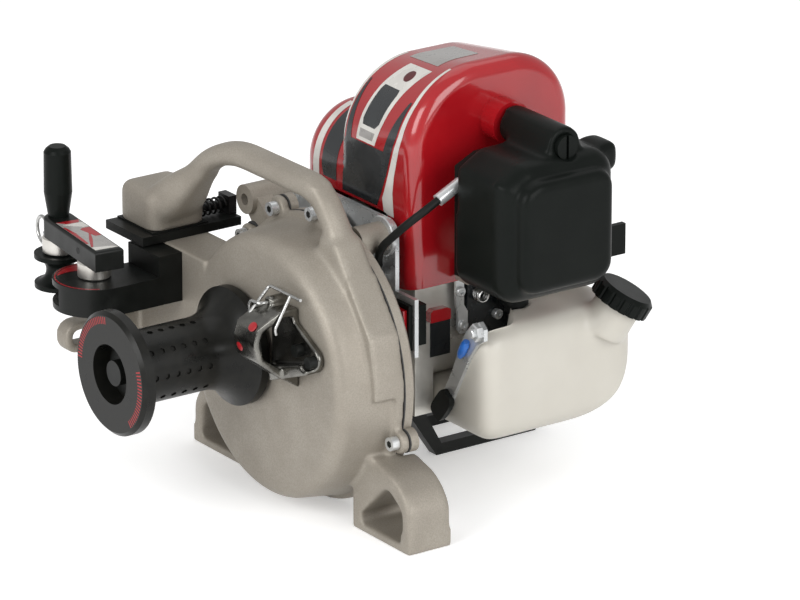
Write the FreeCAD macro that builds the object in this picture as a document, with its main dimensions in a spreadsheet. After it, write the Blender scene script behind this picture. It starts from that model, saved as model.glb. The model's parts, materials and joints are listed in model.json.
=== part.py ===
import FreeCAD, Part
import math
import os
import Sketcher

# A petrol capstan winch, in millimetres: +X to the right seen from the capstan, +Y to the engine, +Z up.
# Places are given from the floor point between the feet, in the plane of the feet's front faces.

SIZES = {
    # Place of that floor point from the middle of the whole winch
    "frame_x": 38.0,
    "frame_y": -42.0,
    # Fits
    "running_fit": 0.05,
    "rest_gap": 0.3,
    "screw_fit": 0.1,
    "overrun": 2.0,
    # Gear case, turned about an axis along Y
    "case_z": 97.0,
    "case_face_y": -27.0,
    "case_wall": 5.0,
    "case_face_radius": 89.0,
    "case_edge_round": 10.0,
    "case_draft": 4.0,
    "case_flange_lip": 3.5,
    "case_flange_thick": 6.0,
    "case_parting_y": 18.0,
    "gasket_thick": 0.8,
    "gasket_band": 8.5,
    "case_end_y": 31.0,
    "lug_standout": 3.5,
    "lug_radius": 8.0,
    "case_screw_radius": 2.7,
    "case_screw_head_radius": 4.6,
    "case_screw_head": 5.5,
    # Feet of the case
    "foot_root": 34.5,
    "foot_reach": 30.5,
    "foot_depth": 34.0,
    "foot_side_height": 28.0,
    "foot_shoulder_out": 1.5,
    "foot_shoulder_z": 50.0,
    "foot_shoulder_round": 36.0,
    "foot_top_in": 17.5,
    "foot_top_z": 56.0,
    "foot_bar": 5.5,
    "foot_post": 10.5,
    "window_root": 24.5,
    "window_side_z": 27.0,
    "window_top_out": 3.5,
    "window_top_z": 38.0,
    "window_corner": 3.5,
    # Wing on the left of the case, with the anchor eye
    "wing_reach": 53.5,
    "wing_root": 26.5,
    "wing_low_z": 72.0,
    "wing_top_z": 150.0,
    "wing_back_y": 9.0,
    "wing_corner": 8.0,
    "anchor_reach": 65.5,
    "anchor_width": 14.0,
    "anchor_front_y": -86.0,
    "anchor_height": 22.0,
    "anchor_nose": 10.0,
    "anchor_rim": 6.0,
    "anchor_slot_length": 19.0,
    "anchor_slot_round": 4.0,
    "stud_radius": 5.0,
    "stud_standout": 5.0,
    "stud_behind_slot": 9.0,
    # Rib and pad on the case that carry the handle's right leg
    "seat_left_x": 30.0,
    "seat_right_x": 50.0,
    "seat_drop": 1.5,
    "seat_front_y": -5.0,
    # Carry handle
    "handle_y": 2.0,
    "handle_width": 19.0,
    "handle_thick": 15.0,
    "handle_corner": 5.5,
    "handle_leg_x": 40.0,
    "handle_shoulder_x": 22.0,
    "handle_shoulder_z": 220.0,
    "handle_shoulder_bend": 26.0,
    "handle_apex_x": -74.0,
    "handle_apex_z": 226.0,
    "handle_apex_bend": 60.0,
    "handle_start_reach": 31.5,
    "handle_start_z": 176.0,
    "handle_block_reach": 66.5,
    "handle_block_width": 44.0,
    "handle_block_front_y": -35.0,
    "handle_block_back_y": 9.0,
    "handle_block_height": 27.0,
    "handle_block_round": 9.0,
    # Rail and pad under the handle block
    "rail_margin": 2.0,
    "rail_front_y": -44.0,
    "rail_back_y": 34.0,
    "rail_thick": 6.0,
    "pad_thick": 1.0,
    # Coil spring on its bolt behind the handle block
    "spring_reach": 33.5,
    "spring_radius": 5.0,
    "spring_wire": 0.8,
    "spring_length": 19.0,
    "spring_bolt_radius": 3.0,
    "spring_block": 13.0,
    "spring_block_depth": 6.0,
    # Axes of drum and crank
    "drum_x": -27.5,
    "drum_z": 105.6,
    "crank_x": -28.0,
    "crank_z": 146.0,
    # Capstan drum
    "drum_front_y": -128.0,
    "drum_back_y": -30.0,
    "drum_flange_radius": 41.5,
    "drum_flange_thick": 9.0,
    "drum_flange_chamfer": 2.5,
    "drum_barrel_radius": 24.5,
    "drum_throat_round": 9.0,
    "drum_flare_radius": 40.0,
    "drum_flare_round": 30.0,
    "drum_rim_thick": 6.0,
    "drum_recess_radius": 20.0,
    "drum_recess_depth": 13.0,
    "dimple_radius": 2.2,
    "dimple_sink": 1.2,
    "dimple_pitch": 8.3,
    "shaft_radius": 10.0,
    "drum_bolt_radius": 5.0,
    "drum_bolt_length": 22.0,
    "drum_bolt_head_radius": 8.5,
    "drum_bolt_head": 7.0,
    "drum_washer_radius": 15.0,
    "drum_washer": 3.0,
    # Bearings, bushes and seal
    "bearing_radius": 21.0,
    "bearing_width": 11.0,
    "bearing_front_y": -17.0,
    "bearing_back_y": 19.0,
    "bearing_boss_wall": 5.0,
    "bearing_lip": 4.0,
    "seal_radius": 17.5,
    "seal_width": 7.0,
    "bush_radius": 9.0,
    "bush_length": 10.0,
    "bush_boss_wall": 4.0,
    "bush_back_y": 19.5,
    "input_bearing_radius": 13.0,
    "input_bearing_width": 10.0,
    "input_boss_wall": 4.0,
    # Gears
    "first_module": 1.25,
    "first_gear_y": 10.0,
    "first_gear_width": 7.0,
    "second_module": 1.5,
    "second_gear_y": -4.0,
    "second_gear_width": 12.0,
    "pinion_overlap": 0.8,
    "tooth_backlash": 0.12,
    "countershaft_radius": 6.0,
    "input_shaft_radius": 5.0,
    # Clutch
    "clutch_y": 33.0,
    "clutch_radius": 38.0,
    "clutch_sheet": 1.6,
    "clutch_depth": 15.0,
    "clutch_gap": 1.2,
    "clutch_hub_radius": 12.0,
    "clutch_slot": 7.0,
    "crank_radius": 6.0,
    # Posts and engine plate
    "post_radius": 10.0,
    "post_front_y": 15.0,
    "post_hole_radius": 4.0,
    "post_hole_depth": 12.0,
    "ear_reach": 9.0,
    "plate_y": 50.0,
    "plate_thick": 3.0,
    "plate_margin": 12.0,
    "plate_tab_out": 22.0,
    "plate_tab_rise": 7.0,
    "plate_tab_height": 40.0,
    "plate_hole_radius": 24.3,
    "plate_screw_radius": 3.0,
    "plate_screw_length": 15.0,
    "plate_screw_head_radius": 5.5,
    "plate_screw_head": 4.5,
    # Stop switch
    "switch_width": 17.0,
    "switch_height": 31.0,
    "switch_bezel": 3.0,
    "switch_lip": 1.5,
    "switch_body_depth": 12.0,
    "rocker_width": 12.0,
    "rocker_height": 24.0,
    "rocker_rise": 3.0,
    "rocker_dip": 1.2,
    "rocker_lift": 2.7,
    "rocker_pin_radius": 1.0,
    # Rope guide
    "guide_pin_reach": 27.5,
    "guide_pin_y": -78.0,
    "guide_pin_radius": 5.0,
    "guide_pin_head_radius": 8.0,
    "guide_pin_head": 5.0,
    "arm_reach": 37.5,
    "arm_low_z": 115.0,
    "arm_high_z": 134.5,
    "arm_step_y": -45.0,
    "arm_step_z": 149.0,
    "cheek_radius": 28.0,
    "cheek_thick": 3.8,
    "cheek_wall": 3.0,
    "front_roller_waist": 17.0,
    "front_roller_rim": 2.0,
    "arm_bolt_radius": 3.0,
    "arm_bolt_head_radius": 5.0,
    "arm_bolt_head": 5.0,
    "arm_bolt_grip": 14.0,
    "arm_bolt_spread": 18.0,
    "arm_bolt_z": 132.0,
    # Gate lever with its rear roller and grip
    "lever_reach": 55.0,
    "lever_overhang": 24.0,
    "lever_width": 20.7,
    "lever_thick": 14.0,
    "lever_low_z": 146.0,
    "lever_round": 2.0,
    "lever_cover": 2.0,
    "collar_radius": 11.25,
    "collar_bevel": 1.0,
    "rear_roller_radius": 17.0,
    "rear_roller_waist": 9.0,
    "rear_roller_rim": 3.0,
    "rear_roller_height": 23.5,
    "roller_stud_head_radius": 8.0,
    "roller_stud_head": 3.0,
    "grip_base_radius": 7.0,
    "grip_belly_radius": 9.6,
    "grip_belly_height": 17.0,
    "grip_top_radius": 9.2,
    "grip_height": 49.0,
    "grip_crown": 4.0,
    "grip_crown_inset": 3.5,
    # Lock pin and pull ring
    "lock_z": 142.0,
    "lock_pin_radius": 2.5,
    "lock_eye_radius": 4.2,
    "lock_eye_hole": 1.75,
    "lock_eye_thick": 2.6,
    "pull_ring_radius": 9.3,
    "pull_ring_wire": 1.3,
    # Tail guide: a plate on the case's face, a loop that stands out from it and a lip below
    "tail_low_x": 18.5,
    "tail_low_z": 95.0,
    "tail_far_x": 82.0,
    "tail_far_z": 122.0,
    "tail_top_x": 27.0,
    "tail_top_z": 150.0,
    "tail_corner": 8.0,
    "tail_floor": 5.0,
    "tail_lip": 7.0,
    "tail_lip_depth": 13.0,
    "loop_left_x": 17.0,
    "loop_width": 25.0,
    "loop_wall": 5.0,
    "loop_low_z": 96.0,
    "loop_chin_y": -41.0,
    "loop_chin_z": 105.0,
    "loop_cheek_y": -58.5,
    "loop_cheek_z": 119.0,
    "loop_nose_y": -62.0,
    "loop_nose_z": 132.0,
    "loop_brow_z": 143.0,
    "loop_crown_z": 151.0,
    "loop_round": 5.0,
    "tail_screw_radius": 2.5,
    "tail_screw_head_radius": 4.2,
    "tail_screw_head": 5.0,
    "tail_screw_near_x": 51.0,
    "tail_screw_near_z": 126.0,
    "tail_screw_far_x": 66.0,
    "tail_screw_far_z": 122.0,
    "wire_radius": 1.2,
    "wire_pivot_x": 26.0,
    "wire_pivot_z": 153.0,
    "wire_eye_radius": 4.0,
    "wire_eye_front_y": -41.0,
    "wire_y": -36.0,
    "wire_front_y": -47.0,
    "wire_bend": 4.0,
    "wire_drop": 33.0,
    # Crankcase and cylinder
    "crank_nose_radius": 40.0,
    "crank_block_y": 67.0,
    "crank_block_left_x": -72.0,
    "crank_block_right_x": 38.0,
    "crank_block_low_z": 78.0,
    "crank_block_top_z": 168.0,
    "crank_block_back_y": 162.0,
    "crank_block_round": 10.0,
    "sump_left_x": -60.0,
    "sump_low_z": 54.0,
    "fan_housing_radius": 46.0,
    "fan_housing_back_y": 188.0,
    "cylinder_left_x": -62.0,
    "cylinder_right_x": 6.0,
    "cylinder_front_y": 86.0,
    "cylinder_back_y": 150.0,
    "cylinder_head_room": 20.0,
    "cylinder_core_inset": 12.0,
    "fin_thick": 2.6,
    "plug_hex_radius": 9.0,
    "plug_hex_height": 7.0,
    "plug_body_radius": 5.0,
    "plug_height": 27.0,
    # Shroud over the cylinder: a tall hump, a lower shoulder on its left and a spout on its right
    "shroud_left_x": -84.0,
    "shroud_step_x": -40.0,
    "shroud_right_x": 45.0,
    "shroud_front_y": 60.0,
    "shroud_back_y": 188.0,
    "shroud_low_z": 132.0,
    "shroud_top_z": 291.6,
    "shroud_crown_fall": 13.0,
    "shroud_shoulder_z": 241.0,
    "shroud_wall": 2.5,
    "shroud_front_round": 54.0,
    "shroud_tail_round": 46.0,
    "shoulder_front_round": 38.0,
    "shoulder_tail_round": 34.0,
    "shroud_edge_round": 10.0,
    "shoulder_edge_round": 15.0,
    "shroud_notch": 5.0,
    "spout_radius": 14.5,
    # Air cleaner
    "carb_width": 20.0,
    "carb_front_y": 92.0,
    "carb_back_y": 122.0,
    "carb_low_z": 148.0,
    "carb_high_z": 184.0,
    "carb_throat_radius": 13.0,
    "cleaner_base_thick": 8.0,
    "cleaner_base_inset": 6.0,
    "cover_front_y": 73.0,
    "cover_back_y": 164.0,
    "cover_low_z": 153.0,
    "cover_top_z": 247.0,
    "cover_slope_run": 19.0,
    "cover_slope_fall": 11.0,
    "cover_face_x": 129.0,
    "cover_panel_inset": 9.0,
    "cover_panel_x": 138.0,
    "cover_corner_round": 17.0,
    "cover_edge_round": 13.0,
    "cover_panel_corner": 13.0,
    "cover_panel_round": 6.0,
    "cover_wall": 3.0,
    "cover_lug_left_x": 88.0,
    "cover_lug_width": 24.0,
    "cover_lug_standout": 13.0,
    "cover_lug_low_z": 224.0,
    "cover_lug_height": 21.0,
    "cover_lug_round": 6.0,
    "filter_depth": 30.0,
    "filter_inset": 18.0,
    "tube_y": 128.5,
    "tube_z": 251.5,
    "tube_radius": 13.0,
    "tube_inner_x": 60.0,
    "tube_outer_x": 118.0,
    "knob_radius": 8.0,
    "knob_depth": 5.0,
    "knob_stem_radius": 2.5,
    "knob_slot": 2.0,
    "knob_slot_depth": 2.0,
    "choke_x": 108.0,
    "choke_z": 179.0,
    "choke_hole_radius": 2.5,
    "choke_hub_radius": 6.0,
    "choke_hub": 5.0,
    "choke_thick": 4.0,
    "choke_length": 20.0,
    "choke_rise": 7.0,
    "choke_drop": 14.0,
    # Fuel tank with cap, grommet, tubes and guard
    "tank_left_x": -76.0,
    "tank_right_x": 98.0,
    "tank_front_y": 82.0,
    "tank_back_y": 203.0,
    "tank_low_z": 47.0,
    "tank_top_z": 125.0,
    "tank_side_x": 46.0,
    "tank_corner_round": 14.0,
    "tank_edge_round": 12.0,
    "cap_x": 96.0,
    "cap_y": 184.0,
    "cap_z": 118.0,
    "neck_radius": 16.0,
    "neck_start": 14.0,
    "neck_rise": 15.0,
    "cap_radius": 20.5,
    "cap_top_radius": 17.8,
    "cap_top": 3.0,
    "cap_rib_radius": 1.6,
    "grommet_x": 57.0,
    "grommet_y": 134.0,
    "grommet_radius": 9.0,
    "grommet_rise": 5.0,
    "grommet_rim": 2.0,
    "fuel_tube_radius": 2.5,
    "fuel_tube_spread": 3.5,
    "fuel_tube_bend": 9.0,
    "guard_right_x": -9.0,
    "guard_left_x": -64.0,
    "guard_bar": 9.0,
    "guard_front_y": 92.0,
    "guard_low_front_y": 118.0,
    "guard_low_back_y": 200.0,
    "guard_back_y": 211.0,
    "guard_sole": 8.0,
    "guard_front_bar": 13.0,
    "guard_heel_z": 16.0,
    # Muffler and guard on the left
    "muffler_thick": 40.0,
    "muffler_front_y": 98.0,
    "muffler_back_y": 166.0,
    "muffler_low_z": 100.0,
    "muffler_top_z": 168.0,
    "muffler_round": 9.0,
    "muffler_guard_gap": 3.0,
    "muffler_guard_sheet": 1.5,
    "muffler_slot": 6.0,
    # Recoil starter at the back
    "recoil_radius": 64.0,
    "recoil_depth": 24.0,
    "recoil_shoulder": 9.0,
    "recoil_crown_radius": 46.0,
    "recoil_crown_rise": 20.4,
    "recoil_hub_radius": 16.0,
    "recoil_slot": 6.0,
    "recoil_slot_inner": 22.0,
    "starter_grip_length": 34.0,
    "starter_grip_radius": 6.5,
    "starter_ferrule_radius": 4.0,
    "starter_ferrule": 9.0,
    # Throttle cable
    "cable_radius": 2.75,
    "ferrule_radius": 4.2,
    "ferrule_length": 24.0,
    "boot_radius": 6.0,
    "boot_length": 10.0,
}

FIRST_PINION_TEETH = 10
FIRST_GEAR_TEETH = 52
SECOND_PINION_TEETH = 10
SECOND_GEAR_TEETH = 56
PRESSURE_ANGLE = math.radians(20)
PINION_SHIFT_SHARE = 0.5
PINION_ADDENDUM_SHARE = 0.85
GEAR_ADDENDUM_SHARE = 1.0
GEAR_DEDENDUM_SHARE = 1.25
HANDLE_ANGLE = 7.0
GATE_ANGLE = 173.0
CAP_TILT_ANGLE = 30.0
CAP_TURN_ANGLE = 58.0
LUG_ANGLES = (342, 200, 88, 115, 142)
DIMPLE_ROWS = 9
DIMPLES_PER_ROW = 6
DIMPLE_SIDES = 6
SPRING_TURNS = 4
FIN_COUNT = 7
CAP_RIBS = 18
MUFFLER_SLOTS = 6
RECOIL_SLOTS = 12

# Corners of the handle's rib and places of the engine posts, as shares of the case's radius
RIB_SHARES = ((1.0, 0.114), (0.935, 0.425), (0.668, 0.777))
POST_LEFT_SHARE = -0.903
POST_RIGHT_SHARE = 0.301
POST_LOW_SHARE = 0.151
POST_HIGH_SHARE = 0.903
# Other shares of the sizes that they follow
CABLE_BEND_SHARE = 0.45
TUBE_BEND_SHARE = 0.9
BLOCK_CROWN_SHARE = 0.8
EYE_TRIM_SHARE = 0.9
PLATE_CORNER_SHARE = 0.9
PLUG_TIP_SHARE = 0.7
SLOPE_INSET_SHARE = 0.4
DIAGONAL_SHARE = math.sqrt(0.5)
CROWN_CONE_SHARE = 0.6

# Hand-placed points of the throttle cable's route, from its ferrule to its boot
CABLE_ROUTE = [
    (69.3, 63.0, 214.0),
    (69.3, 52.3, 208.7),
    (63.3, 45.0, 201.0),
    (52.7, 40.5, 190.1),
    (43.4, 36.0, 179.6),
    (36.6, 38.5, 169.0),
    (30.0, 44.0, 160.5),
    (21.0, 44.0, 154.0),
]

doc = FreeCAD.newDocument("capstan_winch")
sheet = doc.addObject("Spreadsheet::Sheet", "dims")
for row, (alias, value) in enumerate(SIZES.items(), start=1):
    sheet.set(f"A{row}", alias)
    sheet.set(f"B{row}", str(value))
    sheet.setAlias(f"B{row}", alias)
doc.recompute()


class Size:
    """A length of the sheet, or a sum of such lengths: its formula and its value."""

    def __init__(self, formula, value):
        self.formula = formula
        self.value = value

    def _join(self, sign, other, value):
        return Size(f"({self.formula} {sign} {formula_of(other)})", value)

    def __add__(self, other):
        return self._join("+", other, self.value + number(other))

    def __sub__(self, other):
        return self._join("-", other, self.value - number(other))

    def __mul__(self, other):
        return self._join("*", other, self.value * number(other))

    def __truediv__(self, other):
        return self._join("/", other, self.value / number(other))

    def __neg__(self):
        return Size(f"(-1 * {self.formula})", -self.value)

    def root(self):
        return Size(f"sqrt({self.formula})", math.sqrt(self.value))


def number(size):
    return size.value if isinstance(size, Size) else float(size)


def formula_of(size):
    return size.formula if isinstance(size, Size) else repr(size)


class Sizes:
    """The sheet's cells by name."""

    def __getattr__(self, name):
        return Size(f"dims.{name}", SIZES[name])


d = Sizes()
NODES = []

ALONG_Z = FreeCAD.Rotation()
ALONG_Y = FreeCAD.Rotation(FreeCAD.Vector(1, 0, 0), -90)
ALONG_X = FreeCAD.Rotation(FreeCAD.Vector(0, 1, 0), 90)
# Drawings seen from the front (X across, Z up) and from the right (Y across, Z up)
FRONT_VIEW = FreeCAD.Rotation(FreeCAD.Vector(1, 0, 0), 90)
SIDE_VIEW = FreeCAD.Rotation(FreeCAD.Vector(1, 1, 1), 120)


def bind(thing, name, size):
    if isinstance(size, Size):
        thing.setExpression(name, size.formula)


def place(thing, x, y, z, rotation=ALONG_Z):
    """Puts a piece at a place given from the floor point between the feet."""
    base = FreeCAD.Vector(number(d.frame_x + x), number(d.frame_y + y), number(z))
    thing.Placement = FreeCAD.Placement(base, rotation)
    bind(thing, "Placement.Base.x", d.frame_x + x)
    bind(thing, "Placement.Base.y", d.frame_y + y)
    bind(thing, "Placement.Base.z", z)
    return thing


def box(x0, x1, y0, y1, z0, z1):
    block = doc.addObject("Part::Box", "block")
    bind(block, "Length", x1 - x0)
    bind(block, "Width", y1 - y0)
    bind(block, "Height", z1 - z0)
    return place(block, x0, y0, z0)


def rod(x, y, z, radius, length, rotation=ALONG_Z):
    """A cylinder that starts at the place given and runs along its axis."""
    bar = doc.addObject("Part::Cylinder", "rod")
    bind(bar, "Radius", radius)
    bind(bar, "Height", length)
    return place(bar, x, y, z, rotation)


def fuse(*pieces):
    joined = doc.addObject("Part::MultiFuse", "joined")
    joined.Shapes = list(pieces)
    joined.Refine = True
    return joined


def cut(base, *tools):
    rest = doc.addObject("Part::Cut", "cut")
    rest.Base = base
    rest.Tool = tools[0] if len(tools) == 1 else fuse(*tools)
    rest.Refine = True
    return rest


def group(*pieces):
    """Separate solids in one node."""
    held = doc.addObject("Part::Compound", "group")
    held.Links = list(pieces)
    return held


def coded(shape, x=0, y=0, z=0, rotation=ALONG_Z):
    """A piece whose shape is worked out in code from the sheet."""
    piece = doc.addObject("Part::Feature", "formed")
    piece.Shape = shape
    return place(piece, x, y, z, rotation)


def node(label, piece):
    piece.Label = label
    NODES.append(piece)
    return piece


class Bend:
    """A corner of an outline that is reached by an arc; turn is 1 for a left-hand arc, else -1."""

    def __init__(self, u, v, radius, turn):
        self.u = u
        self.v = v
        self.radius = radius
        self.turn = turn


def arc_middle(start, end, radius, turn):
    chord = end - start
    half = chord.Length / 2
    rise = radius - math.sqrt(max(radius * radius - half * half, 0))
    side = FreeCAD.Vector(chord.y, -chord.x, 0) / chord.Length
    return (start + end) / 2 + side * rise * turn


def hold_point(sketch, line, end, u, v):
    """Holds one end of an edge at its distances from the sketch's origin."""
    for kind, size, axis in (("DistanceX", u, -2), ("DistanceY", v, -1)):
        if isinstance(size, Size):
            index = sketch.addConstraint(Sketcher.Constraint(kind, -1, 1, line, end, size.value))
            sketch.setExpression(f"Constraints[{index}]", size.formula)
        else:
            sketch.addConstraint(Sketcher.Constraint("PointOnObject", line, end, axis))


def outline(body, role, corners):
    """A closed sketch through the corners, in one of the body's origin planes."""
    sketch = body.newObject("Sketcher::SketchObject", "outline")
    plane = next(f for f in body.Origin.OriginFeatures if f.Role == role)
    sketch.AttachmentSupport = [(plane, "")]
    sketch.MapMode = "FlatFace"
    points = []
    for corner in corners:
        u, v = (corner.u, corner.v) if isinstance(corner, Bend) else corner
        points.append((u, v))
    spots = [FreeCAD.Vector(number(u), number(v), 0) for u, v in points]
    ends = []
    for i, corner in enumerate(corners):
        start = spots[i - 1]
        end = spots[i]
        if isinstance(corner, Bend):
            middle = arc_middle(start, end, number(corner.radius), corner.turn)
            first, last = (start, end) if corner.turn > 0 else (end, start)
            sketch.addGeometry(Part.Arc(first, middle, last))
            ends.append((1, 2) if corner.turn > 0 else (2, 1))
        else:
            sketch.addGeometry(Part.LineSegment(start, end))
            ends.append((1, 2))
    count = len(corners)
    for i in range(count):
        following = (i + 1) % count
        sketch.addConstraint(
            Sketcher.Constraint("Coincident", i, ends[i][1], following, ends[following][0])
        )
    for i, (u, v) in enumerate(points):
        hold_point(sketch, i, ends[i][1], u, v)
        if isinstance(corners[i], Bend):
            index = sketch.addConstraint(Sketcher.Constraint("Radius", i, number(corners[i].radius)))
            sketch.setExpression(f"Constraints[{index}]", formula_of(corners[i].radius))
    return sketch


def turned(corners, x, y, z, rotation=ALONG_Z):
    """A turned piece: corners are (radius, place along the axis)."""
    body = doc.addObject("PartDesign::Body", "turned")
    sketch = outline(body, "XZ_Plane", corners)
    turn = body.newObject("PartDesign::Revolution", "turn")
    turn.Profile = sketch
    turn.ReferenceAxis = (sketch, ["V_Axis"])
    turn.Angle = 360
    return place(body, x, y, z, rotation)


def padded(corners, depth, x, y, z, rotation=ALONG_Z):
    """A plate or block padded from an outline."""
    body = doc.addObject("PartDesign::Body", "padded")
    sketch = outline(body, "XY_Plane", corners)
    pad = body.newObject("PartDesign::Pad", "pad")
    pad.Profile = sketch
    bind(pad, "Length", depth)
    return place(body, x, y, z, rotation)


def front_plate(corners, y0, y1):
    """A plate with its outline in X and Z, from y0 back to y1."""
    return padded(corners, y1 - y0, 0, y1, 0, FRONT_VIEW)


def side_plate(corners, x0, x1):
    """A plate with its outline in Y and Z, from x0 to x1."""
    return padded(corners, x1 - x0, x0, 0, 0, SIDE_VIEW)


def rounded(body, radius, wanted):
    """Rounds the edges of a body's last feature for which wanted(edge) holds."""
    doc.recompute()
    last = body.Tip
    names = [f"Edge{i + 1}" for i, edge in enumerate(last.Shape.Edges) if wanted(edge)]
    fillet = body.newObject("PartDesign::Fillet", "round")
    fillet.Base = (last, names)
    bind(fillet, "Radius", radius)
    body.Tip = fillet
    return body


def across(edge):
    """True for an edge that runs square to the outline of a padded body."""
    first, last = edge.Vertexes[0].Point, edge.Vertexes[-1].Point
    return len(edge.Vertexes) == 2 and (first - last).cross(FreeCAD.Vector(0, 0, 1)).Length < 1e-6


def at_end(depth):
    """Tells whether an edge lies in the far face of a padded body."""
    return lambda edge: all(abs(v.Point.z - number(depth)) < 1e-6 for v in edge.Vertexes)


def at_start(edge):
    return all(abs(v.Point.z) < 1e-6 for v in edge.Vertexes)


def vector(x, y, z):
    return FreeCAD.Vector(number(x), number(y), number(z))


def route_wire(points, bend=None):
    """Straight runs joined by tangent arcs; with no bend given, each arc is as large as its runs allow."""
    edges = []
    last = points[0]
    for before, corner, after in zip(points, points[1:], points[2:]):
        inward = (before - corner).normalize()
        outward = (after - corner).normalize()
        turn = math.pi - inward.getAngle(outward)
        shorter = min((before - corner).Length, (after - corner).Length)
        radius = bend if bend else CABLE_BEND_SHARE * shorter / math.tan(turn / 2)
        reach = radius * math.tan(turn / 2)
        start = corner + inward * reach
        end = corner + outward * reach
        bisector = (inward + outward).normalize()
        middle = corner + bisector * (radius / math.cos(turn / 2) - radius)
        edges.append(Part.LineSegment(last, start).toShape())
        edges.append(Part.Arc(start, middle, end).toShape())
        last = end
    edges.append(Part.LineSegment(last, points[-1]).toShape())
    return Part.Wire(edges)


def pipe(points, radius, bend=None):
    """A round bar along a route."""
    wire = route_wire(points, bend)
    circle = Part.Circle(points[0], points[1] - points[0], radius).toShape()
    return wire.makePipeShell([Part.Wire(circle)], True, False)


def arc_from(start, tangent, end):
    """The arc that leaves start along tangent and comes to end."""
    chord = end - start
    along = chord.normalize() if chord.Length else chord
    chord = end - start
    side = tangent - along * tangent.dot(along)
    sagitta = chord.Length / 2 * math.tan(tangent.getAngle(along) / 2)
    return Part.Arc(start, (start + end) / 2 + side.normalize() * sagitta, end).toShape()


def helix_wire(radius, pitch, turns):
    """A helix about Z, a pair of tangent arcs to each half turn."""

    def spot(angle):
        return FreeCAD.Vector(radius * math.cos(angle), radius * math.sin(angle), pitch * angle / math.tau)

    def heading(angle):
        flat = FreeCAD.Vector(-radius * math.sin(angle), radius * math.cos(angle), pitch / math.tau)
        return flat.normalize()

    edges = []
    for half in range(2 * turns):
        start, end = spot(half * math.pi), spot((half + 1) * math.pi)
        leave, arrive = heading(half * math.pi), heading((half + 1) * math.pi)
        chord = end - start
        both = leave + arrive
        square = 2 * (1 - leave.dot(arrive))
        reach = (math.sqrt(chord.dot(both) ** 2 + square * chord.dot(chord)) - chord.dot(both)) / square
        knee = (start + leave * reach + end - arrive * reach) / 2
        edges.append(arc_from(start, leave, knee))
        middle_heading = (end - arrive * reach - start - leave * reach).normalize()
        edges.append(arc_from(knee, middle_heading, end))
    return Part.Wire(edges)


def involute(angle):
    return math.tan(angle) - angle


def gear_shape(teeth, module, shift, addendum, width, bore):
    """A spur gear about Y with a tooth pointing along +X; shift and addendum are in modules."""
    pitch_radius = module * teeth / 2
    base_radius = pitch_radius * math.cos(PRESSURE_ANGLE)
    tip_radius = pitch_radius + module * (addendum + shift)
    root_radius = pitch_radius - module * (GEAR_DEDENDUM_SHARE - shift)
    half_tooth = (math.pi / 2 + 2 * shift * math.tan(PRESSURE_ANGLE)) / teeth
    half_tooth -= number(d.tooth_backlash) / pitch_radius

    def half_angle(radius):
        pressure = math.acos(min(base_radius / radius, 1))
        return half_tooth + involute(PRESSURE_ANGLE) - involute(pressure)

    foot_radius = max(root_radius, base_radius)
    middle_radius = (foot_radius + tip_radius) / 2
    flank = [(radius, half_angle(radius)) for radius in (foot_radius, middle_radius, tip_radius)]
    if root_radius < base_radius:
        flank.insert(0, (root_radius, half_angle(base_radius)))
    points = []
    for tooth in range(teeth):
        middle = math.tau * tooth / teeth
        for radius, half in flank:
            points.append((radius, middle - half))
        for radius, half in reversed(flank):
            points.append((radius, middle + half))
    corners = [FreeCAD.Vector(r * math.cos(a), 0, r * math.sin(a)) for r, a in points]
    blank = Part.Face(Part.makePolygon(corners + corners[:1])).extrude(FreeCAD.Vector(0, width, 0))
    if not bore:
        return blank
    hole = Part.makeCylinder(bore, width, FreeCAD.Vector(), FreeCAD.Vector(0, 1, 0))
    return blank.cut(hole)


def toward(x0, z0, x1, z1, extra=0.0):
    """Turns a gear about Y until its first tooth points from one axis to another, plus a part of a turn."""
    angle = math.degrees(math.atan2(number(z1 - z0), number(x1 - x0)))
    return FreeCAD.Rotation(FreeCAD.Vector(0, 1, 0), -(angle + extra))


# Places worked out from the sizes
floor_y = d.case_face_y + d.case_wall
rear_y = d.case_parting_y + d.gasket_thick
rear_wall_y = d.case_end_y - d.case_wall
wall_middle = d.case_face_radius + d.running_fit
case_back_radius = d.case_face_radius + d.case_draft
case_flange_radius = case_back_radius + d.case_flange_lip
lug_circle_radius = case_flange_radius + d.lug_standout
seat_top_z = d.case_z + case_flange_radius - d.seat_drop
wing_left_x = -case_flange_radius - d.wing_reach
wing_right_x = -case_flange_radius + d.wing_root
anchor_left_x = -case_flange_radius - d.anchor_reach
arm_left_x = -case_flange_radius - d.arm_reach
guide_pin_x = -case_flange_radius - d.guide_pin_reach
handle_start_x = -case_flange_radius - d.handle_start_reach
block_left_x = -case_flange_radius - d.handle_block_reach
block_right_x = block_left_x + d.handle_block_width
spring_x = -case_flange_radius - d.spring_reach
post_left_x = case_back_radius * POST_LEFT_SHARE
post_right_x = case_back_radius * POST_RIGHT_SHARE
post_low_z = d.case_z + case_back_radius * POST_LOW_SHARE
post_high_z = d.case_z + case_back_radius * POST_HIGH_SHARE
plate_right_x = post_right_x + d.plate_margin
plate_low_z = post_low_z - d.plate_margin
tab_low_z = plate_low_z + d.plate_tab_rise
switch_x = plate_right_x + d.plate_tab_out / 2
switch_z = tab_low_z + d.plate_tab_height / 2
first_spacing = d.first_module * ((FIRST_PINION_TEETH + FIRST_GEAR_TEETH) / 2)
second_spacing = d.second_module * ((SECOND_PINION_TEETH + SECOND_GEAR_TEETH) / 2)
axis_dx = d.crank_x - d.drum_x
axis_dz = d.crank_z - d.drum_z
axis_gap = (axis_dx * axis_dx + axis_dz * axis_dz).root()
counter_along = (
    second_spacing * second_spacing - first_spacing * first_spacing
) / (axis_gap * 2) + axis_gap / 2
counter_aside = (second_spacing * second_spacing - counter_along * counter_along).root()
counter_x = d.drum_x + counter_along * axis_dx / axis_gap + counter_aside * axis_dz / axis_gap
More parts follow.
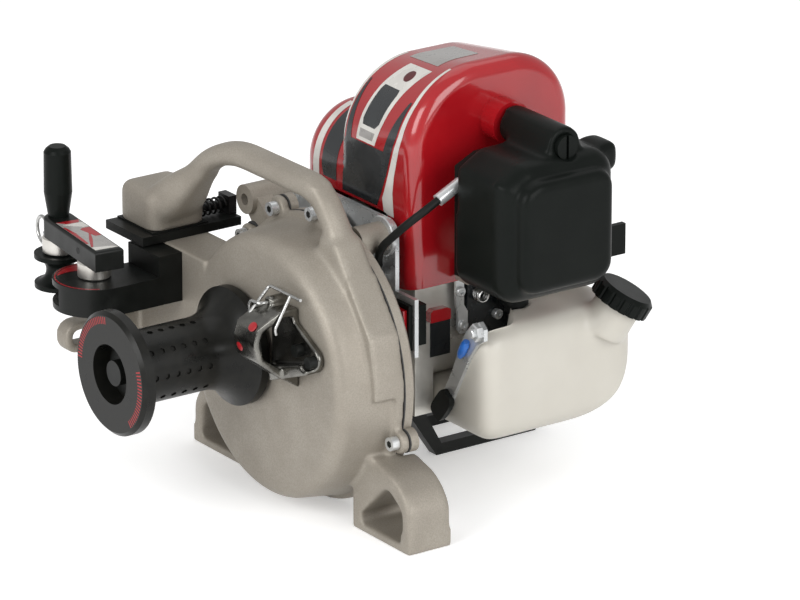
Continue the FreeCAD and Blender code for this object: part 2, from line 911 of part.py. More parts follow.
counter_z = d.drum_z + counter_along * axis_dz / axis_gap - counter_aside * axis_dx / axis_gap
plate_back_y = d.plate_y + d.plate_thick
carb_right_x = d.shroud_right_x + d.rest_gap + d.carb_width
cleaner_base_x = carb_right_x + d.cleaner_base_thick
cover_back_x = cleaner_base_x + d.rest_gap
cylinder_top_z = d.shroud_shoulder_z - d.cylinder_head_room
cleaner_base_front_y = d.cover_front_y + d.cleaner_base_inset
rail_top_z = d.wing_top_z + d.rail_thick
block_low_z = rail_top_z + d.pad_thick
lever_top_z = d.lever_low_z + d.lever_thick
stem_z = rail_top_z + d.spring_block / 2


def lug_places():
    for angle in LUG_ANGLES:
        turn = math.radians(angle)
        yield lug_circle_radius * math.cos(turn), d.case_z + lug_circle_radius * math.sin(turn)


def lug_rods(radius, y0, y1):
    return [rod(x, y0, z, radius, y1 - y0, ALONG_Y) for x, z in lug_places()]


def foot(side):
    """One windowed foot; side is 1 for the right and -1 for the left."""
    inner_x = (case_flange_radius - d.foot_root) * side
    end_x = (case_flange_radius + d.foot_reach) * side
    shoulder_x = (case_flange_radius + d.foot_shoulder_out) * side
    stock = front_plate(
        [
            (inner_x, 0),
            (end_x, 0),
            (end_x, d.foot_side_height),
            Bend(shoulder_x, d.foot_shoulder_z, d.foot_shoulder_round, side),
            ((case_flange_radius - d.foot_top_in) * side, d.foot_top_z),
            (inner_x, d.foot_top_z),
        ],
        0,
        d.foot_depth,
    )
    outer_x = (case_flange_radius + d.foot_reach - d.foot_post) * side
    root_x = (case_flange_radius - d.window_root) * side
    window = front_plate(
        [
            (root_x, d.foot_bar),
            (outer_x, d.foot_bar),
            (outer_x, d.window_side_z),
            ((case_flange_radius + d.window_top_out) * side, d.window_top_z),
            (root_x, d.foot_bar + d.window_corner * 2),
        ],
        -d.overrun,
        d.foot_depth + d.overrun,
    )
    rounded(window, d.window_corner, across)
    inside = rod(0, -d.overrun, d.case_z, wall_middle, d.case_parting_y + d.overrun, ALONG_Y)
    behind = rod(
        0, d.case_parting_y, d.case_z, case_flange_radius + d.rest_gap, d.foot_depth, ALONG_Y
    )
    return cut(stock, window, inside, behind)


def wing():
    """The wing that carries the rope guide, cut to the case's round wall."""
    stock = front_plate(
        [
            (wing_left_x, d.wing_low_z),
            (wing_right_x, d.wing_low_z),
            (wing_right_x, d.wing_top_z),
            (wing_left_x, d.wing_top_z),
        ],
        d.case_face_y,
        d.wing_back_y,
    )
    rounded(
        stock, d.wing_corner, lambda edge: across(edge) and edge.Vertexes[0].Point.x < number(arm_left_x)
    )
    inside = rod(0, floor_y, d.case_z, wall_middle - d.case_edge_round / 2, d.foot_depth, ALONG_Y)
    return cut(stock, inside)


def anchor_eye():
    """The slotted eye that takes the anchor strap, ahead of the wing."""
    right_x = anchor_left_x + d.anchor_width
    high_z = d.wing_low_z + d.anchor_height
    eye = side_plate(
        [
            (d.anchor_front_y, d.wing_low_z),
            (d.wing_back_y, d.wing_low_z),
            (d.wing_back_y, high_z),
            (d.anchor_front_y, high_z),
        ],
        anchor_left_x,
        right_x,
    )
    rounded(eye, d.anchor_nose, lambda edge: across(edge) and edge.Vertexes[0].Point.x < number(floor_y))
    slot_front = d.anchor_front_y + d.anchor_rim
    slot_back = slot_front + d.anchor_slot_length
    slot = side_plate(
        [
            (slot_front, d.wing_low_z + d.anchor_rim),
            (slot_back, d.wing_low_z + d.anchor_rim),
            (slot_back, high_z - d.anchor_rim),
            (slot_front, high_z - d.anchor_rim),
        ],
        anchor_left_x - d.overrun,
        right_x + d.overrun,
    )
    rounded(slot, d.anchor_slot_round, across)
    stud_y = slot_back + d.stud_behind_slot
    stud_x = anchor_left_x + d.anchor_width / 2
    stud_length = d.anchor_height + d.stud_standout * 2
    low_z = d.wing_low_z - d.stud_standout
    node("anchor_stud", rod(stud_x, stud_y, low_z, d.stud_radius, stud_length))
    hole = rod(stud_x, stud_y, low_z, d.stud_radius + d.running_fit, stud_length)
    return cut(eye, slot, hole)


def handle_seat():
    """Pad and rib on the case's flank, in line with the handle's right leg."""
    rib = [(case_flange_radius * across_share, d.case_z + case_flange_radius * up_share)
           for across_share, up_share in RIB_SHARES]
    stock = front_plate(
        [
            (d.seat_left_x, d.case_z),
            (case_flange_radius, d.case_z),
            *rib,
            (d.seat_right_x, seat_top_z),
            (d.seat_left_x, seat_top_z),
        ],
        d.seat_front_y,
        d.case_parting_y,
    )
    inside = rod(0, floor_y, d.case_z, wall_middle, d.case_parting_y - floor_y + d.overrun, ALONG_Y)
    return cut(stock, inside)


def front_case():
    edge_x = d.case_face_radius - d.case_edge_round
    flange_y = d.case_parting_y - d.case_flange_thick
    inner_radius = d.case_face_radius - d.case_wall
    shell = turned(
        [
            (0, d.case_face_y),
            (edge_x, d.case_face_y),
            Bend(d.case_face_radius, d.case_face_y + d.case_edge_round, d.case_edge_round, 1),
            (case_back_radius, flange_y),
            (case_flange_radius, flange_y),
            (case_flange_radius, d.case_parting_y),
            (case_back_radius - d.case_wall, d.case_parting_y),
            (inner_radius, floor_y + d.case_wall),
            (inner_radius - d.case_wall, floor_y),
            (0, floor_y),
        ],
        0,
        0,
        d.case_z,
        ALONG_Y,
    )
    boss_radius = d.bearing_radius + d.bearing_boss_wall
    boss_end = d.bearing_front_y + d.bearing_width
    boss = rod(d.drum_x, d.case_face_y, d.drum_z, boss_radius, boss_end - d.case_face_y, ALONG_Y)
    bush_boss = rod(
        counter_x, d.case_face_y, counter_z, d.bush_radius + d.bush_boss_wall, d.case_wall + d.bush_length,
        ALONG_Y
    )
    body = fuse(
        shell, boss, bush_boss, foot(1), foot(-1), wing(), anchor_eye(), handle_seat(),
        *lug_rods(d.lug_radius, flange_y, d.case_parting_y),
    )
    bearing_bore = rod(
        d.drum_x, d.bearing_front_y, d.drum_z, d.bearing_radius + d.running_fit,
        d.bearing_width + d.overrun, ALONG_Y
    )
    seal_bore = rod(
        d.drum_x, d.case_face_y - d.overrun, d.drum_z, d.seal_radius + d.running_fit,
        d.seal_width + d.overrun, ALONG_Y
    )
    shaft_hole = rod(
        d.drum_x, d.case_face_y, d.drum_z, d.shaft_radius + d.bearing_lip, d.case_wall + d.bearing_width,
        ALONG_Y
    )
    bush_bore = rod(
        counter_x, floor_y, counter_z, d.bush_radius + d.running_fit, d.bush_length + d.overrun, ALONG_Y
    )
    arm_bolt_holes = [
        rod(
            x, d.case_face_y - d.overrun, d.arm_bolt_z, d.arm_bolt_radius + d.screw_fit, d.foot_depth * 2,
            ALONG_Y
        )
        for x in arm_bolt_xs()
    ]
    tail_holes = [
        rod(x, d.case_face_y - d.overrun, z, d.tail_screw_radius + d.screw_fit, d.case_wall * 2, ALONG_Y)
        for x, z in tail_screw_places()
    ]
    screw_holes = lug_rods(
        d.case_screw_radius + d.screw_fit, flange_y - d.overrun, d.case_parting_y + d.overrun
    )
    node(
        "front_case",
        cut(
            body, bearing_bore, seal_bore, shaft_hole, bush_bore, *arm_bolt_holes, *tail_holes, *screw_holes
        ),
    )


def case_gasket():
    ring = turned(
        [
            (case_flange_radius - d.gasket_band, d.case_parting_y),
            (case_flange_radius, d.case_parting_y),
            (case_flange_radius, rear_y),
            (case_flange_radius - d.gasket_band, rear_y),
        ],
        0,
        0,
        d.case_z,
        ALONG_Y,
    )
    body = fuse(ring, *lug_rods(d.lug_radius, d.case_parting_y, rear_y))
    holes = lug_rods(d.case_screw_radius + d.screw_fit, d.case_parting_y - d.overrun, rear_y + d.overrun)
    node("case_gasket", cut(body, *holes))


def rear_case():
    flange_end = rear_y + d.case_flange_thick
    rim = case_back_radius - d.case_wall
    shell = turned(
        [
            (0, rear_wall_y),
            (rim, rear_wall_y),
            (rim, rear_y),
            (case_flange_radius, rear_y),
            (case_flange_radius, flange_end),
            (case_back_radius, flange_end),
            (rim, d.case_end_y),
            (0, d.case_end_y),
        ],
        0,
        0,
        d.case_z,
        ALONG_Y,
    )
    bosses = [
        rod(d.drum_x, d.bearing_back_y, d.drum_z, d.bearing_radius + d.bearing_boss_wall,
            d.case_end_y - d.bearing_back_y, ALONG_Y),
        rod(counter_x, d.bush_back_y, counter_z, d.bush_radius + d.bush_boss_wall,
            d.case_end_y - d.bush_back_y, ALONG_Y),
        rod(d.crank_x, d.bush_back_y, d.crank_z, d.input_bearing_radius + d.input_boss_wall,
            d.case_end_y - d.bush_back_y, ALONG_Y),
    ]
    posts = [
        rod(post_left_x, d.post_front_y, post_high_z, d.post_radius, d.plate_y - d.post_front_y, ALONG_Y),
        rod(post_right_x, rear_wall_y, post_high_z, d.post_radius, d.plate_y - rear_wall_y, ALONG_Y),
        rod(post_left_x, rear_wall_y, post_low_z, d.post_radius, d.plate_y - rear_wall_y, ALONG_Y),
        rod(post_right_x, rear_wall_y, post_low_z, d.post_radius, d.plate_y - rear_wall_y, ALONG_Y),
    ]
    rim_reach = rim * DIAGONAL_SHARE
    side = d.ear_reach * DIAGONAL_SHARE
    ear = front_plate(
        [
            (-rim_reach + side, d.case_z + rim_reach + side),
            (-rim_reach - side, d.case_z + rim_reach - side),
            (post_left_x - side, post_high_z - side),
            (post_left_x + side, post_high_z + side),
        ],
        rear_y,
        d.case_end_y,
    )
    body = fuse(shell, ear, *bosses, *posts, *lug_rods(d.lug_radius, rear_y, flange_end))
    bores = [
        rod(d.drum_x, d.bearing_back_y - d.overrun, d.drum_z, d.bearing_radius + d.running_fit,
            d.bearing_width + d.overrun, ALONG_Y),
        rod(counter_x, d.bush_back_y - d.overrun, counter_z, d.bush_radius + d.running_fit,
            d.bush_length + d.overrun, ALONG_Y),
        rod(d.crank_x, d.bush_back_y - d.overrun, d.crank_z, d.input_bearing_radius + d.running_fit,
            d.input_bearing_width + d.overrun, ALONG_Y),
        rod(d.crank_x, d.bush_back_y, d.crank_z, d.input_shaft_radius + d.bearing_lip / 2,
            d.foot_depth, ALONG_Y),
        rod(post_left_x, d.post_front_y - d.overrun, post_high_z, d.post_hole_radius,
            d.post_hole_depth + d.overrun, ALONG_Y),
    ]
    screw_y = plate_back_y - d.plate_screw_length
    plate_holes = [
        rod(x, screw_y, z, d.plate_screw_radius + d.screw_fit, d.plate_screw_length + d.overrun, ALONG_Y)
        for x, z in post_places()
    ]
    screw_holes = lug_rods(d.case_screw_radius + d.screw_fit, rear_y - d.overrun, flange_end + d.overrun)
    node("rear_case", cut(body, *bores, *plate_holes, *screw_holes))


def post_places():
    for x in (post_left_x, post_right_x):
        for z in (post_low_z, post_high_z):
            yield x, z


def case_screws():
    flange_y = d.case_parting_y - d.case_flange_thick
    flange_end = rear_y + d.case_flange_thick
    screws = []
    for x, z in lug_places():
        head = rod(x, flange_y - d.case_screw_head, z, d.case_screw_head_radius, d.case_screw_head, ALONG_Y)
        shank = rod(x, flange_y, z, d.case_screw_radius, flange_end - flange_y, ALONG_Y)
        screws.append(fuse(head, shank))
    node("case_screws", group(*screws))


def ring_about_y(x, z, y, outer, inner, width):
    return turned([(inner, 0), (outer, 0), (outer, width), (inner, width)], x, y, z, ALONG_Y)


def bearings():
    """Ball bearings of the drum and input shafts, bushes of the countershaft, and the drum shaft's seal."""
    shaft_bore = d.shaft_radius + d.running_fit
    counter_bore = d.countershaft_radius + d.running_fit
    input_bore = d.input_shaft_radius + d.running_fit
    node(
        "shaft_bearings",
        group(
            ring_about_y(
                d.drum_x, d.drum_z, d.bearing_front_y, d.bearing_radius, shaft_bore, d.bearing_width
            ),
            ring_about_y(
                d.drum_x, d.drum_z, d.bearing_back_y, d.bearing_radius, shaft_bore, d.bearing_width
            ),
            ring_about_y(counter_x, counter_z, floor_y, d.bush_radius, counter_bore, d.bush_length),
            ring_about_y(counter_x, counter_z, d.bush_back_y, d.bush_radius, counter_bore, d.bush_length),
            ring_about_y(
                d.crank_x, d.crank_z, d.bush_back_y, d.input_bearing_radius, input_bore,
                d.input_bearing_width
            ),
        ),
    )
    node(
        "shaft_seal",
        ring_about_y(d.drum_x, d.drum_z, d.case_face_y, d.seal_radius, shaft_bore, d.seal_width),
    )


def capstan_drum():
    """The drum: flange, dimpled barrel and trumpet flare, with a recess for its bolt."""
    length = d.drum_back_y - d.drum_front_y
    flare_y = length - d.drum_rim_thick
    throat_y = d.drum_flange_thick + d.drum_throat_round
    flare_rise = d.drum_flare_radius - d.drum_barrel_radius
    flare_run = (d.drum_flare_round * flare_rise * 2 - flare_rise * flare_rise).root()
    bore = d.shaft_radius + d.running_fit
    recess_floor = d.drum_recess_depth
    body = turned(
        [
            (d.drum_recess_radius, 0),
            (d.drum_flange_radius - d.drum_flange_chamfer, 0),
            (d.drum_flange_radius, d.drum_flange_chamfer),
            (d.drum_flange_radius, d.drum_flange_thick),
            (d.drum_barrel_radius + d.drum_throat_round, d.drum_flange_thick),
            Bend(d.drum_barrel_radius, throat_y, d.drum_throat_round, -1),
            (d.drum_barrel_radius, flare_y - flare_run),
            Bend(d.drum_flare_radius, flare_y, d.drum_flare_round, -1),
            (d.drum_flare_radius, length),
            (bore, length),
            (bore, recess_floor),
            (d.drum_recess_radius, recess_floor),
        ],
        d.drum_x,
        d.drum_front_y,
        d.drum_z,
        ALONG_Y,
    )
    dimples = []
    first_y = d.drum_front_y + throat_y + d.dimple_radius
    for row in range(DIMPLE_ROWS):
        turn = math.tau * row / DIMPLE_ROWS
        reach = d.drum_barrel_radius - d.dimple_sink
        x = d.drum_x + reach * math.cos(turn)
        z = d.drum_z + reach * math.sin(turn)
        outward = FreeCAD.Rotation(
            FreeCAD.Vector(0, 0, 1), FreeCAD.Vector(math.cos(turn), 0, math.sin(turn))
        )
        for step in range(DIMPLES_PER_ROW):
            pit = doc.addObject("Part::Prism", "pit")
            pit.Polygon = DIMPLE_SIDES
            bind(pit, "Circumradius", d.dimple_radius)
            bind(pit, "Height", d.dimple_sink + d.overrun)
            dimples.append(place(pit, x, first_y + d.dimple_pitch * step, z, outward))
    pits = group(*dimples)
    pitted = doc.addObject("Part::Cut", "cut")
    pitted.Base = body
    pitted.Tool = pits
    node("capstan_drum", pitted)
    washer_y = d.drum_front_y + recess_floor
    shaft_start = washer_y + d.rest_gap
    shaft_end = d.bearing_back_y + d.bearing_width
    shaft = rod(d.drum_x, shaft_start, d.drum_z, d.shaft_radius, shaft_end - shaft_start, ALONG_Y)
    bolt_hole = rod(
        d.drum_x, shaft_start - d.overrun, d.drum_z, d.drum_bolt_radius + d.screw_fit,
        d.drum_bolt_length + d.overrun, ALONG_Y,
    )
    node("drum_shaft", cut(shaft, bolt_hole))
    head_y = d.drum_washer + d.drum_bolt_head
    bolt = turned(
        [
            (0, 0),
            (d.drum_bolt_head_radius, 0),
            (d.drum_bolt_head_radius, d.drum_bolt_head),
            (d.drum_washer_radius, d.drum_bolt_head),
            (d.drum_washer_radius, head_y),
            (d.drum_bolt_radius, head_y),
            (d.drum_bolt_radius, head_y + d.drum_bolt_length),
            (0, head_y + d.drum_bolt_length),
        ],
        d.drum_x,
        washer_y - head_y,
        d.drum_z,
        ALONG_Y,
    )
    node("drum_bolt", bolt)


def gear_train():
    """Two pairs of spur gears between crank and drum; each pair is in mesh at rest."""
    first_module = number(d.first_module)
    second_module = number(d.second_module)
    wide = number(d.pinion_overlap)
    output = gear_shape(
        SECOND_GEAR_TEETH, second_module, -PINION_SHIFT_SHARE, GEAR_ADDENDUM_SHARE,
        number(d.second_gear_width), number(d.shaft_radius + d.running_fit),
    )
    node(
        "output_gear",
        coded(
            output, d.drum_x, d.second_gear_y, d.drum_z, toward(d.drum_x, d.drum_z, counter_x, counter_z)
        ),
    )
    second_pinion = coded(
        gear_shape(
            SECOND_PINION_TEETH, second_module, PINION_SHIFT_SHARE, PINION_ADDENDUM_SHARE,
            number(d.second_gear_width) + 2 * wide, 0,
        ),
        counter_x,
        d.second_gear_y - d.pinion_overlap,
        counter_z,
        toward(counter_x, counter_z, d.drum_x, d.drum_z, 180 / SECOND_PINION_TEETH),
    )
    counter_start = floor_y + d.rest_gap
    counter_end = d.bush_back_y + d.bush_length
    shaft = rod(
        counter_x, counter_start, counter_z, d.countershaft_radius, counter_end - counter_start, ALONG_Y
    )
    node("countershaft", fuse(shaft, second_pinion))
    first_gear = gear_shape(
        FIRST_GEAR_TEETH, first_module, -PINION_SHIFT_SHARE, GEAR_ADDENDUM_SHARE,
        number(d.first_gear_width), number(d.countershaft_radius + d.running_fit),
    )
    node(
        "intermediate_gear",
        coded(
            first_gear, counter_x, d.first_gear_y, counter_z,
            toward(counter_x, counter_z, d.crank_x, d.crank_z),
        ),
    )
    first_pinion = coded(
        gear_shape(
            FIRST_PINION_TEETH, first_module, PINION_SHIFT_SHARE, PINION_ADDENDUM_SHARE,
            number(d.first_gear_width) + 2 * wide, 0,
        ),
        d.crank_x,
        d.first_gear_y - d.pinion_overlap,
        d.crank_z,
        toward(d.crank_x, d.crank_z, counter_x, counter_z, 180 / FIRST_PINION_TEETH),
    )
    shaft_start = d.first_gear_y - d.pinion_overlap
    input_shaft = rod(
        d.crank_x, shaft_start, d.crank_z, d.input_shaft_radius, d.clutch_y - shaft_start, ALONG_Y
    )
    node("input_pinion", fuse(input_shaft, first_pinion))


def clutch():
    rim = d.clutch_radius - d.clutch_sheet
    node(
        "clutch_drum",
        turned(
            [
                (0, 0),
                (d.clutch_radius, 0),
                (d.clutch_radius, d.clutch_depth),
                (rim, d.clutch_depth),
                (rim, d.clutch_sheet),
                (0, d.clutch_sheet),
            ],
            d.crank_x,
            d.clutch_y,
            d.crank_z,
            ALONG_Y,
        ),
    )
    hub_y = d.clutch_y + d.clutch_sheet + d.clutch_gap
    hub_width = d.clutch_depth - d.clutch_sheet - d.clutch_gap
    hub = ring_about_y(
        d.crank_x, d.crank_z, hub_y, d.clutch_hub_radius, d.crank_radius + d.running_fit, hub_width
    )
    shoe_ring = ring_about_y(
        d.crank_x, d.crank_z, hub_y, rim - d.clutch_gap, d.clutch_hub_radius + d.rest_gap, hub_width
    )
    half = d.clutch_slot / 2
    slot = box(
        d.crank_x - d.clutch_radius, d.crank_x + d.clutch_radius, hub_y - d.overrun,
        hub_y + hub_width + d.overrun, d.crank_z - half, d.crank_z + half,
    )
    node("clutch_shoes", group(hub, cut(shoe_ring, slot)))


def section(center, across_axis, up_axis, width, thick, corner):
    """A rectangle with round corners, for a bar to be swept from."""
    w, t = width / 2, thick / 2
    slope = corner * (1 - DIAGONAL_SHARE)
    edges = []
    last = None
    first = None
    for sx, sy, flip in ((1, 1, False), (-1, 1, True), (-1, -1, False), (1, -1, True)):
        on_side = (sx * w, sy * (t - corner))
        on_top = (sx * (w - corner), sy * t)
        knee = (sx * (w - slope), sy * (t - slope))
        start, end = (on_top, on_side) if flip else (on_side, on_top)
        spots = [center + across_axis * u + up_axis * v for u, v in (start, knee, end)]
        if last is not None:
            edges.append(Part.LineSegment(last, spots[0]).toShape())
        else:
            first = spots[0]
        edges.append(Part.Arc(*spots).toShape())
        last = spots[2]
    edges.append(Part.LineSegment(last, first).toShape())
    return Part.Wire(edges)


def carry_handle():
    """A cast arch from the seat on the case to the square block over the rope guide."""
    points = [
        vector(d.handle_leg_x, 0, seat_top_z),
        vector(d.handle_shoulder_x, 0, d.handle_shoulder_z),
        vector(d.handle_apex_x, 0, d.handle_apex_z),
        vector(handle_start_x, 0, d.handle_start_z),
    ]
    bends = (number(d.handle_shoulder_bend), number(d.handle_apex_bend))
    edges = []
    last = points[0]
    for before, corner, after, radius in zip(points, points[1:], points[2:], bends):
        bent = route_wire([last, corner, after], radius)
        edges.extend(bent.Edges[:2])
        last = bent.Edges[1].Vertexes[1].Point
    edges.append(Part.LineSegment(last, points[-1]).toShape())
    path = Part.Wire(edges)
    start_along = (points[1] - points[0]).normalize()
    aside = FreeCAD.Vector(0, 1, 0)
    start = points[0] - start_along * number(d.handle_thick)
    path = Part.Wire([Part.LineSegment(start, points[0]).toShape()] + path.Edges)
    profile = section(
        start, aside, start_along.cross(aside),
        number(d.handle_width), number(d.handle_thick), number(d.handle_corner),
    )
    bar = path.makePipeShell([profile], True, False)
    turn = FreeCAD.Rotation(FreeCAD.Vector(0, 0, 1), HANDLE_ANGLE)
    arch = coded(bar, 0, d.handle_y, 0, turn)
    below_seat = box(
        d.seat_left_x - d.handle_thick, case_flange_radius, -d.foot_depth, d.foot_depth * 2, d.case_z,
        seat_top_z
    )
    block_corners = [
        (block_left_x, d.handle_block_front_y),
        (block_right_x, d.handle_block_front_y),
        (block_right_x, d.handle_block_back_y),
        (block_left_x, d.handle_block_back_y),
    ]
    block = padded(block_corners, d.handle_block_height, 0, 0, block_low_z)
    rounded(block, d.handle_block_round, across)
    rounded(block, d.handle_block_round * BLOCK_CROWN_SHARE, at_end(d.handle_block_height))
    below_block = box(
        block_left_x, wing_right_x, -d.foot_depth * 2, d.foot_depth * 2, d.case_z, block_low_z
    )
    return node("carry_handle", cut(fuse(arch, block), below_seat, below_block))


def guide_rail():
    node(
        "guide_rail",
        box(
            block_left_x, block_right_x + d.rail_margin, d.rail_front_y, d.rail_back_y, d.wing_top_z,
            rail_top_z
        ),
    )
    node(
        "rail_pad",
        box(
            block_left_x, block_right_x, d.handle_block_front_y, d.handle_block_back_y,
            rail_top_z, block_low_z,
        ),
    )


def coil_spring():
    """An open coil spring on its bolt, between the handle block and a square nut on the rail."""
    wire = number(d.spring_wire)
    radius = number(d.spring_radius)
    free = number(d.spring_length) - 2 * wire
    pitch = free / SPRING_TURNS
    path = helix_wire(radius, pitch, SPRING_TURNS)
    start = FreeCAD.Vector(radius, 0, 0)
    heading = FreeCAD.Vector(0, radius, pitch / math.tau)
    profile = Part.Wire(Part.Circle(start, heading, wire).toShape())
    coil = path.makePipeShell([profile], True, False)
    print("spring coils stand apart by", round(pitch - 2 * wire, 2))
    spring_y = d.handle_block_back_y + d.rest_gap + d.spring_wire
    node("coil_spring", coded(coil, spring_x, spring_y, stem_z, ALONG_Y))
    nut_y = d.handle_block_back_y + d.spring_length + d.rest_gap * 2
    half = d.spring_block / 2
    nut = box(
        spring_x - half, spring_x + half, nut_y, nut_y + d.spring_block_depth, rail_top_z,
        rail_top_z + d.spring_block
    )
    stem = rod(
        spring_x, d.handle_block_back_y, stem_z, d.spring_bolt_radius, nut_y - d.handle_block_back_y,
        ALONG_Y
    )
    node("spring_bolt", fuse(nut, stem))


def arm_bolt_xs():
    middle = (arm_left_x + guide_pin_x + d.cheek_radius) / 2
    return middle - d.arm_bolt_spread / 2, middle + d.arm_bolt_spread / 2


def guide_arm():
    """The black arm: a stepped block whose front end is a fork of two round cheeks."""
    right_x = guide_pin_x + d.cheek_radius
    bar = box(arm_left_x, right_x, d.guide_pin_y, d.case_face_y, d.arm_low_z, d.arm_high_z)
    step = box(arm_left_x, right_x, d.arm_step_y, d.case_face_y, d.arm_high_z, d.arm_step_z)
    head = rod(guide_pin_x, d.guide_pin_y, d.arm_low_z, d.cheek_radius, d.arm_high_z - d.arm_low_z)
    gap_low = d.arm_low_z + d.cheek_thick
    gap_high = d.arm_high_z - d.cheek_thick
    pocket = d.cheek_radius - d.cheek_wall
    hollow = rod(guide_pin_x, d.guide_pin_y, gap_low, pocket, gap_high - gap_low)
    mouth = box(
        guide_pin_x - d.cheek_radius - d.overrun, guide_pin_x, d.guide_pin_y - d.cheek_radius - d.overrun,
        d.guide_pin_y + pocket, gap_low, gap_high,
    )
    pin_hole = rod(
        guide_pin_x, d.guide_pin_y, d.arm_low_z - d.overrun, d.guide_pin_radius + d.running_fit,
        d.arm_high_z - d.arm_low_z + d.overrun * 2,
    )
    bolt_holes = [
        rod(x, d.case_face_y - d.arm_bolt_grip, d.arm_bolt_z, d.arm_bolt_radius + d.screw_fit,
            d.arm_bolt_grip + d.overrun, ALONG_Y)
        for x in arm_bolt_xs()
    ]
    node("guide_arm", cut(fuse(bar, step, head), hollow, mouth, pin_hole, *bolt_holes))
    bolt_start = d.case_face_y - d.arm_bolt_grip
    bolts = []
    for x in arm_bolt_xs():
        shank = rod(x, bolt_start, d.arm_bolt_z, d.arm_bolt_radius, d.wing_back_y - bolt_start, ALONG_Y)
        cap = rod(x, d.wing_back_y, d.arm_bolt_z, d.arm_bolt_head_radius, d.arm_bolt_head, ALONG_Y)
        bolts.append(fuse(shank, cap))
    node("arm_bolts", group(*bolts))


def roller_corners(height, rim_radius, waist, rim, groove):
    """Half section of a waisted roller, groove being the radius of its hollow."""
    bore = d.guide_pin_radius + d.running_fit
    return [
        (bore, 0),
        (rim_radius, 0),
        (rim_radius, rim),
        Bend(waist, height / 2, groove, -1),
        Bend(rim_radius, height - rim, groove, -1),
        (rim_radius, height),
        (bore, height),
    ]


def hollow_radius(height, rim, depth):
    """Radius of the arc from rim to waist, which lies square to the axis at the waist."""
    run = height / 2 - rim
    return (run * run + depth * depth) / (depth * 2)


def guide_pin_and_roller():
    pin_top = lever_top_z - d.lever_cover - d.rest_gap
    head_low = d.arm_low_z - d.guide_pin_head
    pin = turned(
        [
            (0, head_low),
            (d.guide_pin_head_radius, head_low),
            (d.guide_pin_head_radius, d.arm_low_z),
            (d.guide_pin_radius, d.arm_low_z),
            (d.guide_pin_radius, pin_top),
            (0, pin_top),
        ],
        guide_pin_x,
        d.guide_pin_y,
        0,
    )
    node("guide_pin", pin)
    collar = d.lever_low_z - d.rest_gap / 2 - d.arm_high_z
    node("pivot_collar", collar_ring(guide_pin_x, d.guide_pin_y, d.arm_high_z, collar))
    low = d.arm_low_z + d.cheek_thick + d.rest_gap
    height = d.arm_high_z - d.arm_low_z - d.cheek_thick * 2 - d.rest_gap * 2
    rim_radius = d.cheek_radius - d.cheek_wall - d.rest_gap * 2
    groove = hollow_radius(height, d.front_roller_rim, rim_radius - d.front_roller_waist)
    corners = roller_corners(height, rim_radius, d.front_roller_waist, d.front_roller_rim, groove)
    node("front_roller", turned(corners, guide_pin_x, d.guide_pin_y, low))


def collar_ring(x, y, z, height, rotation=ALONG_Z):
    bore = d.guide_pin_radius + d.running_fit
    return turned(
        [
            (bore, 0),
            (d.collar_radius - d.collar_bevel, 0),
            (d.collar_radius, d.collar_bevel),
            (d.collar_radius, height - d.collar_bevel),
            (d.collar_radius - d.collar_bevel, height),
            (bore, height),
        ],
        x,
        y,
        z,
        rotation,
    )


